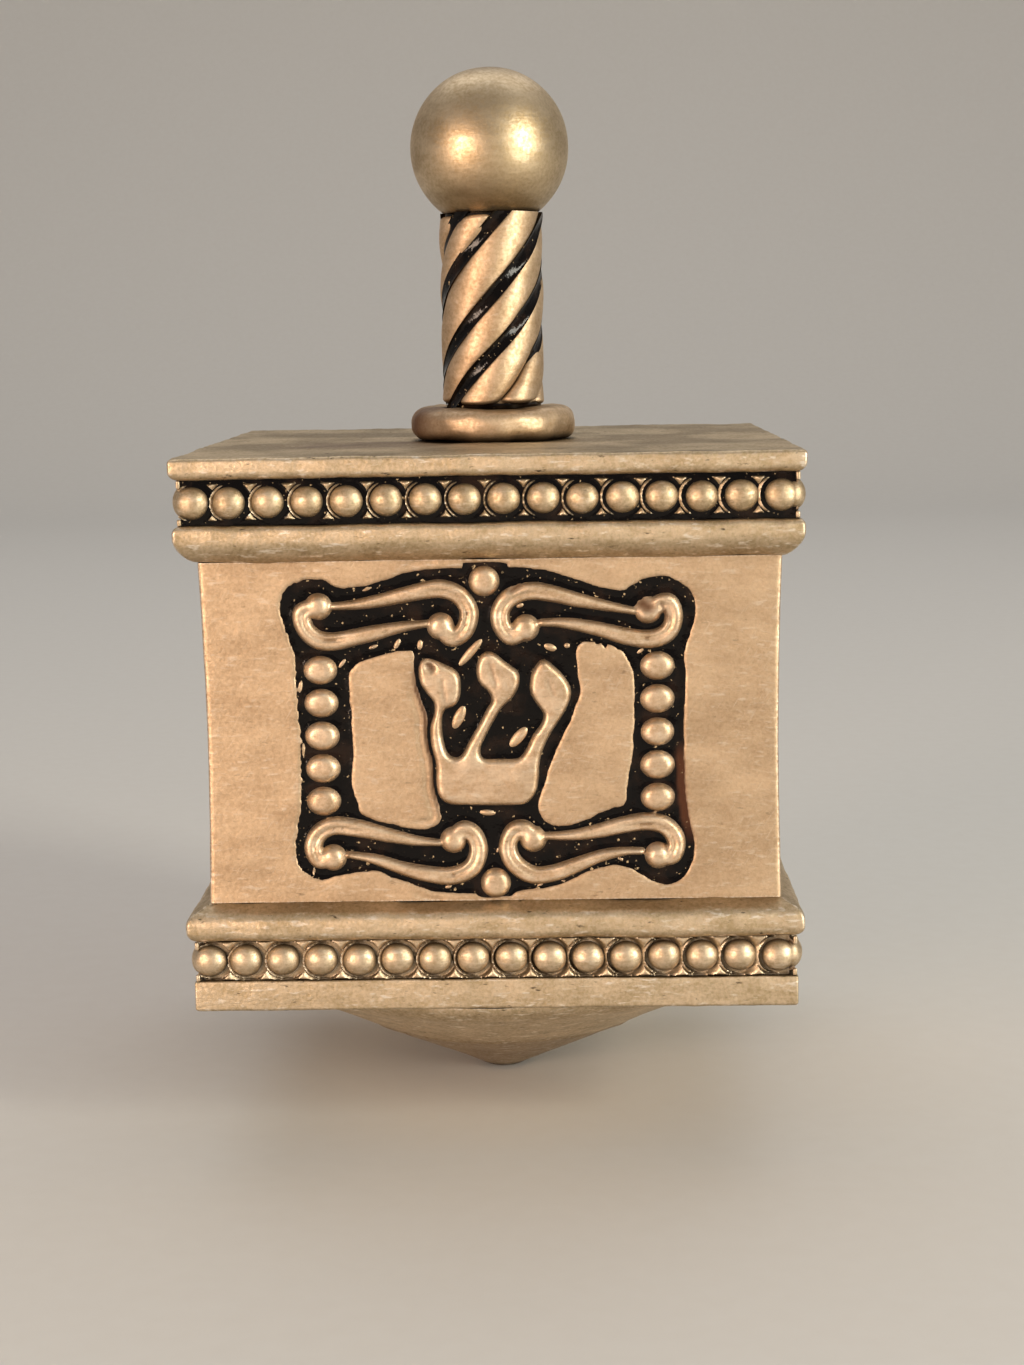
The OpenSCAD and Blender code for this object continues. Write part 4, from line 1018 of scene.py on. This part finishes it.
def panel(side, pool):
    """Side panel, recessed under the enamel's area, with the bits of metal that stand up in it."""
    turns = SIDES.index(side)
    heights = -np.minimum(drop(pool, 2.0, 0.06), RECESS_D)
    # A fold runs down the left island beside the letter
    fold = np.clip((GRID_X + 6) / 0.6, 0, 1) * np.clip((-3.6 - GRID_X) / 0.3, 0, 1)
    heights = heights - 0.07 * fold * np.exp(-((pool + 0.6) / 0.16) ** 2)
    heights = np.maximum(heights, FRONT_BITS_H if side == "front" else BITS_H)
    heights = heights + 0.02 * lumps(GRID_X, GRID_Z, 2.5, turns)
    bm = relief_grid(None, stain_field(pool))
    place = bm.verts.layers.int["place"]
    for v in bm.verts:
        v.co.y = -heights[v[place]]
    rim = [e for e in bm.edges if e.is_boundary]
    grown = bmesh.ops.extrude_edge_only(bm, edges=rim)["geom"]
    back = {g for g in grown if isinstance(g, bmesh.types.BMVert)}
    for v in back:
        v.co.y = WALL
        v.co.x *= CAVITY_HALF / BODY_HALF
    bmesh.ops.contextual_create(
        bm, geom=[g for g in grown if isinstance(g, bmesh.types.BMEdge) and set(g.verts) <= back])
    place_on_side(bm)
    round_corners(bm, 0.3)
    waist(bm)
    turned(bm, turns)
    wobble(bm, 0.04, 6.0)
    finish(bm, f"panel_{side}_rubbed", [f"panel_{side}"], PANEL, 60)


def scroll_frame(side, pool):
    """Scrolls and beads on their backing sheet."""
    turns = SIDES.index(side)
    depth, stain_and_shade = crease_field(GRID_X, GRID_Z, SCROLL_CREASES)
    heights = np.maximum(SCROLL_H - depth * (SCROLL_H > 0.1), BACKING_LEVEL)
    heights = heights + 0.02 * lumps(GRID_X, GRID_Z, 1.3, turns + 9)
    bm = relief_grid((pool > -0.3) | (SCROLL_OUT < 0.3), stain_and_shade)
    slab(bm, heights, -RECESS_D)
    waist(bm)
    turned(bm, turns)
    wobble(bm, 0.04, 6.0)
    finish(bm, f"scroll_frame_{side}_relief", [f"scroll_frame_{side}"], RELIEF, 75)


def enamel(side, pool, letter):
    """Enamel over the backing sheet, drawn up a little where it meets the metal."""
    turns = SIDES.index(side)
    gap = np.minimum(np.minimum(pool, SCROLL_OUT), -letter)
    heights = ENAMEL_LEVEL + 0.08 * np.exp(-np.maximum(gap, 0) / 0.14)
    heights = heights + 0.02 * lumps(GRID_X, GRID_Z, 1.4, turns + 20)
    bm = relief_grid(gap > -0.3, 0.8 * brown_margin() * np.clip((0.6 - pool) / 0.25, 0, 1))
    slab(bm, heights, BACKING_LEVEL)
    waist(bm)
    turned(bm, turns)
    wobble(bm, 0.04, 6.0)
    finish(bm, f"enamel_{side}_pool", [f"enamel_{side}"], ENAMEL, 75)


def letter_piece(side, letter):
    """Raised letter with a soft crown; the shin has its creases and its pit."""
    turns = SIDES.index(side)
    name = LETTERS[side][0]
    crown = 0.06 * (1 - np.exp(-np.maximum(letter, 0) / 0.5))
    heights = LETTER_LEVEL - 0.03 + crown - drop(0.12 - letter, 3.2)
    heights = heights + 0.03 * lumps(GRID_X, GRID_Z, 1.1, turns + 30)
    stain_and_shade = None
    if side == "front":
        depth, stain_and_shade = crease_field(GRID_X, GRID_Z, LETTER_CREASES)
        heights = heights - depth
    heights = np.maximum(heights, BACKING_LEVEL)
    bm = relief_grid(letter > -0.2, stain_and_shade)
    slab(bm, heights, BACKING_LEVEL - 0.02)
    waist(bm)
    turned(bm, turns)
    wobble(bm, 0.04, 6.0)
    finish(bm, f"letter_{name}_{side}_relief", [f"letter_{name}_{side}"], RELIEF, 75)


# Beaded bands

# Bead across, its half depth and how far it stands out
BEAD_R = 1.18
BEAD_DEPTH_R = 0.86
BEAD_PROUD = 0.47
# Sockets that the punch sank, and the width of the plain lines below and above them
CAP_SOCKET_R = 1.6
BASE_SOCKET_R = 1.57
SOCKET_D = 0.5
CAP_LOW_LINE = 0.42
CAP_HIGH_LINE = 0.33
BASE_LOW_LINE = 0.1
BASE_HIGH_LINE = 0.0
# From the corner of a band to its first bead, and the number of gaps between its beads
BEAD_END = 1.0
BEAD_GAPS = 15
# Grids of the enamel and of the strip, and the rim that the punch raised
BAND_GRID = 0.13
RIM_GRID = 0.085
RIM_R = 1.3
RIM_SHIFT = 0.07
RIM_LEVEL = -0.05


def band_lines(half, height, step):
    """Lines along and up a band, as shares of its half length and in millimetres."""
    ts = np.linspace(-1, 1, round(2 * half / step) + 1)
    zs = np.linspace(0, height, round(height / step) + 1)
    return ts, zs


def bead_centres(half):
    """Places of the beads along a band; all but the first stand a little to the left."""
    run = 2 * (half - BEAD_END) - 0.13
    return [i * run / BEAD_GAPS - half + BEAD_END - 0.17 * min(i, 1) for i in range(BEAD_GAPS + 1)]


def land_distance(x, z, half, height, low_line, high_line, bead_z, socket_r):
    """Distance inside the flat lands that stand above and below where two sockets meet."""
    near = np.full(x.shape, 9.0)
    for c in bead_centres(half):
        near = np.minimum(near, np.hypot(x - c, z - bead_z) - socket_r)
    ends = half - BEAD_END - np.abs(x)
    return np.minimum(np.minimum(near, ends), np.minimum(z - low_line, height - high_line - z))


def band_sheet(half, height, low_z, out_of, back, step):
    """Strip along the front with mitred ends, raised by a field of heights over its grid."""
    ts, zs = band_lines(half, height, step)
    across, up = [g.ravel() for g in np.meshgrid(ts * half, zs)]
    heights = out_of(across, up)
    bm = bmesh.new()
    bmesh.ops.create_grid(bm, x_segments=len(ts) - 1, y_segments=len(zs) - 1, size=1)
    for v in bm.verts:
        column = round((v.co.x + 1) / 2 * (len(ts) - 1))
        row = round((v.co.y + 1) / 2 * (len(zs) - 1))
        out = half + heights[row * len(ts) + column]
        v.co = (ts[column] * out, -out, low_z + zs[row])
    rim = [e for e in bm.edges if e.is_boundary]
    grown = bmesh.ops.extrude_edge_only(bm, edges=rim)["geom"]
    behind = {g for g in grown if isinstance(g, bmesh.types.BMVert)}
    for v in behind:
        v.co.x *= back / -v.co.y
        v.co.y = -back
    bmesh.ops.contextual_create(
        bm, geom=[g for g in grown if isinstance(g, bmesh.types.BMEdge) and set(g.verts) <= behind])
    return bm


def add_beads(bm, half, z, seed):
    """Cast beads, flattened like buttons, each a little different."""
    row = bmesh.new()
    for i, x in enumerate(bead_centres(half)):
        stray = noise.noise_vector((i * 1.31, seed * 2.7, 0.5))
        size = 1 + 0.03 * stray.x
        spot = Matrix.Translation((x + 0.06 * stray.y, BEAD_DEPTH_R - BEAD_PROUD - half, z + 0.05 * stray.z))
        tall = BEAD_R * size * (0.97 + 0.03 * stray.y)
        shape = Matrix.Diagonal((BEAD_R * size, BEAD_DEPTH_R, tall, 1))
        lean = Matrix.Rotation(0.12 * stray.z, 4, "X") @ Matrix.Rotation(0.12 * stray.x, 4, "Z")
        bmesh.ops.create_uvsphere(row, u_segments=28, v_segments=18, radius=1,
                                  matrix=spot @ lean @ shape @ Matrix.Rotation(math.radians(90), 4, "X"))
    add_mesh_of(bm, row)


def add_post(bm, half, low_z, high_z):
    """Small post at the left corner of a band."""
    thick = 0.3
    spot = Matrix.Translation((0.13 - half, 0.13 - half, (low_z + high_z) / 2))
    shape = Matrix.Diagonal((thick, thick, high_z - low_z, 1))
    made = bmesh.ops.create_cube(bm, size=1, matrix=spot @ shape)
    edges = {e for v in made["verts"] for e in v.link_edges}
    bmesh.ops.bevel(bm, geom=list(edges), offset=0.1, segments=2, affect="EDGES", profile=0.5, material=-1)


def beading(turns, band, low_line, high_line, half, bead_z, socket_r, material, name):
    """Strip of beads in round sockets, with flat lands between them and a post at its left end."""
    low, high = band
    height = high.z - low.z

    def floor_and_lands(x, z):
        land = land_distance(x, z, half, height, low_line, high_line, bead_z - low.z, socket_r)
        floor = -np.minimum(drop(-land, 3.0, 0.04), SOCKET_D)
        # Thin rim that the punch raised on the left of each bead
        for c in bead_centres(half):
            off = np.hypot(x - c + RIM_SHIFT, z - bead_z + low.z)
            leftness = np.clip(0.35 - (x - c) / np.maximum(off, 0.1), 0, 1)
            floor = np.maximum(floor, RIM_LEVEL - 2.2 * np.abs(off - RIM_R) - 0.5 * (1 - leftness))
        return floor

    bm = band_sheet(half, height, low.z, floor_and_lands, CAVITY_HALF, RIM_GRID)
    add_beads(bm, half, bead_z, turns + low.z)
    add_post(bm, half, low.z, low.z + 0.5)
    add_post(bm, half, high.z - 0.6, high.z)
    turned(bm, turns)
    wobble(bm, 0.05, 1.6)
    side = SIDES[turns]
    finish(bm, f"{name}_beading_{side}_beads", [f"{name}_beading_{side}"], material, 50)


CAP_LAND_HALF = CAP_PLATE[1].x - 0.5
BASE_LAND_HALF = BASE_PLATE[1].x - 0.1
CAP_BEAD_Z = (CAP_BAND[0].z + CAP_BAND[1].z) / 2
BASE_BEAD_Z = (BASE_BAND[0].z + BASE_BAND[1].z) / 2


def cap_bead_enamel():
    """Black enamel in the sockets of the upper band, all round."""
    low, high = CAP_BAND
    height = high.z - low.z
    half = CAP_LAND_HALF

    def poured(x, z):
        land = land_distance(x, z, half, height, CAP_LOW_LINE, CAP_HIGH_LINE, CAP_BEAD_Z - low.z,
                             CAP_SOCKET_R)
        near = np.full(x.shape, 9.0)
        for c in bead_centres(half):
            near = np.minimum(near, np.hypot(x - c, z - CAP_BEAD_Z + low.z) - BEAD_R + 0.05)
        gap = np.maximum(np.minimum(near, -land), 0)
        return -0.24 + 0.06 * np.exp(-gap / 0.1)

    whole = bmesh.new()
    for turns in range(4):
        bm = band_sheet(half, height, low.z, poured, half - SOCKET_D, BAND_GRID)
        turned(bm, turns)
        wobble(bm, 0.05, 1.6)
        add_mesh_of(whole, bm)
    finish(whole, "cap_bead_enamel_fill", ["cap_bead_enamel"], ENAMEL, 75)


# Camera, light and floor

# Camera place and turn, found from the photograph: in millimetres and degrees
CAMERA_PLACE = (4.55, -179.5, 58.98)
CAMERA_YAW = 1.113
CAMERA_PITCH = 8.79
CAMERA_ROLL = -0.946
FOCAL_PX = 2293.4
IMAGE_LONG_PX = 1365
SENSOR = 36


def camera():
    """Camera at the photograph's place, turn and focal length."""
    data = bpy.data.cameras.new("camera")
    data.sensor_width = SENSOR
    data.lens = FOCAL_PX / IMAGE_LONG_PX * SENSOR
    data.clip_start = 0.005
    data.clip_end = 20
    eye = bpy.data.objects.new("camera", data)
    yaw = Matrix.Rotation(math.radians(CAMERA_YAW), 4, "Z")
    pitch = Matrix.Rotation(math.radians(90 - CAMERA_PITCH), 4, "X")
    roll = Matrix.Rotation(math.radians(CAMERA_ROLL), 4, "Z")
    eye.matrix_world = Matrix.Translation(Vector(CAMERA_PLACE) * MM) @ yaw @ pitch @ roll
    bpy.context.scene.collection.objects.link(eye)
    bpy.context.scene.camera = eye


def lamp(name, turn, rise, distance, size, power, tint):
    """Soft box that looks at the middle of the object, by its turn from the front and its rise."""
    data = bpy.data.lights.new(name, "AREA")
    data.shape = "RECTANGLE"
    data.size = size[0]
    data.size_y = size[1]
    data.energy = power
    data.color = colour(tint)[:3]
    box = bpy.data.objects.new(name, data)
    a = math.radians(turn)
    e = math.radians(rise)
    way = Vector((math.sin(a) * math.cos(e), -math.cos(a) * math.cos(e), math.sin(e)))
    box.location = Vector((0, 0, 0.04)) + way * distance
    box.rotation_mode = "QUATERNION"
    box.rotation_quaternion = way.to_track_quat("Z", "Y")
    bpy.context.scene.collection.objects.link(box)


def studio():
    """Pale floor that curves up into a backdrop, three soft boxes and a plain world."""
    bm = bmesh.new()
    reach = 1.5
    line = [(-0.9, 0)] + [(0.55 + x, 0.35 + z) for x, z in arc((0, 0), 0.35, -90, 0, 16)] + [(0.9, 1.6)]
    verts = [bm.verts.new((-reach, y, z)) for y, z in line]
    edges = [bm.edges.new((verts[i], verts[i + 1])) for i in range(len(verts) - 1)]
    grown = bmesh.ops.extrude_edge_only(bm, edges=edges)["geom"]
    moved = [g for g in grown if isinstance(g, bmesh.types.BMVert)]
    bmesh.ops.translate(bm, verts=moved, vec=(2 * reach, 0, 0))
    mesh = bpy.data.meshes.new("studio_floor")
    bm.to_mesh(mesh)
    bm.free()
    mesh.shade_smooth()
    material, tree, place = new_material("pale_paper_sweep")
    fibres = add(tree, "TexNoise", {"Vector": place, "Scale": 0.5, "Detail": 3})
    tone = add(tree, "Mix", {0: fibres.outputs[0], 6: colour("#D6D3CE"), 7: colour("#DAD8D4")},
               data_type="RGBA").outputs[2]
    shader = add(tree, "BsdfPrincipled", {"Base Color": tone, "Roughness": 0.85})
    add(tree, "OutputMaterial", {0: shader.outputs[0]})
    mesh.materials.append(material)
    floor = bpy.data.objects.new("studio_floor", mesh)
    bpy.context.scene.collection.objects.link(floor)
    lamp("right_soft_box", 51, 6, 0.5, (0.11, 0.46), 3.2, "#FBF6E6")
    lamp("left_soft_box", -38, 3, 0.5, (0.14, 0.2), 1.9, "#FFDFC6")
    lamp("top_soft_box", 180, 62, 0.7, (0.8, 0.6), 1.6, "#FFFFFF")
    world = bpy.data.worlds.new("world")
    world.use_nodes = True
    world.node_tree.nodes["Background"].inputs[0].default_value = colour("#9C9A98")
    world.node_tree.nodes["Background"].inputs[1].default_value = 0.9
    bpy.context.scene.world = world


# The object, from the top down

ball_finial()
twisted_stem()
stem_enamel()
stem_collar()
cap_plate()
cap_bead_enamel()
for turns, side in enumerate(SIDES):
    beading(turns, CAP_BAND, CAP_LOW_LINE, CAP_HIGH_LINE, CAP_LAND_HALF, CAP_BEAD_Z, CAP_SOCKET_R,
            BEAD, "cap")
    cap_moulding(turns)
    pool_field = pool_distance(side)
    letter_field = np.max([inside_distance(GRID_X, GRID_Z, curve(outline, True, 4))
                           for outline in LETTERS[side][1]], axis=0)
    panel(side, pool_field)
    scroll_frame(side, pool_field)
    letter_piece(side, letter_field)
    enamel(side, pool_field, letter_field)
    base_moulding(turns)
    beading(turns, BASE_BAND, BASE_LOW_LINE, BASE_HIGH_LINE, BASE_LAND_HALF, BASE_BEAD_Z, BASE_SOCKET_R,
            BARE_BEAD, "base")
base_plate()
point_cone()
for name in ("spindle_rod", "handle_washer", "handle_nut"):
    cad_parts[name].data.materials.clear()
    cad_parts[name].data.materials.append(STEEL)

camera()
studio()
bpy.context.scene.view_settings.view_transform = "Standard"
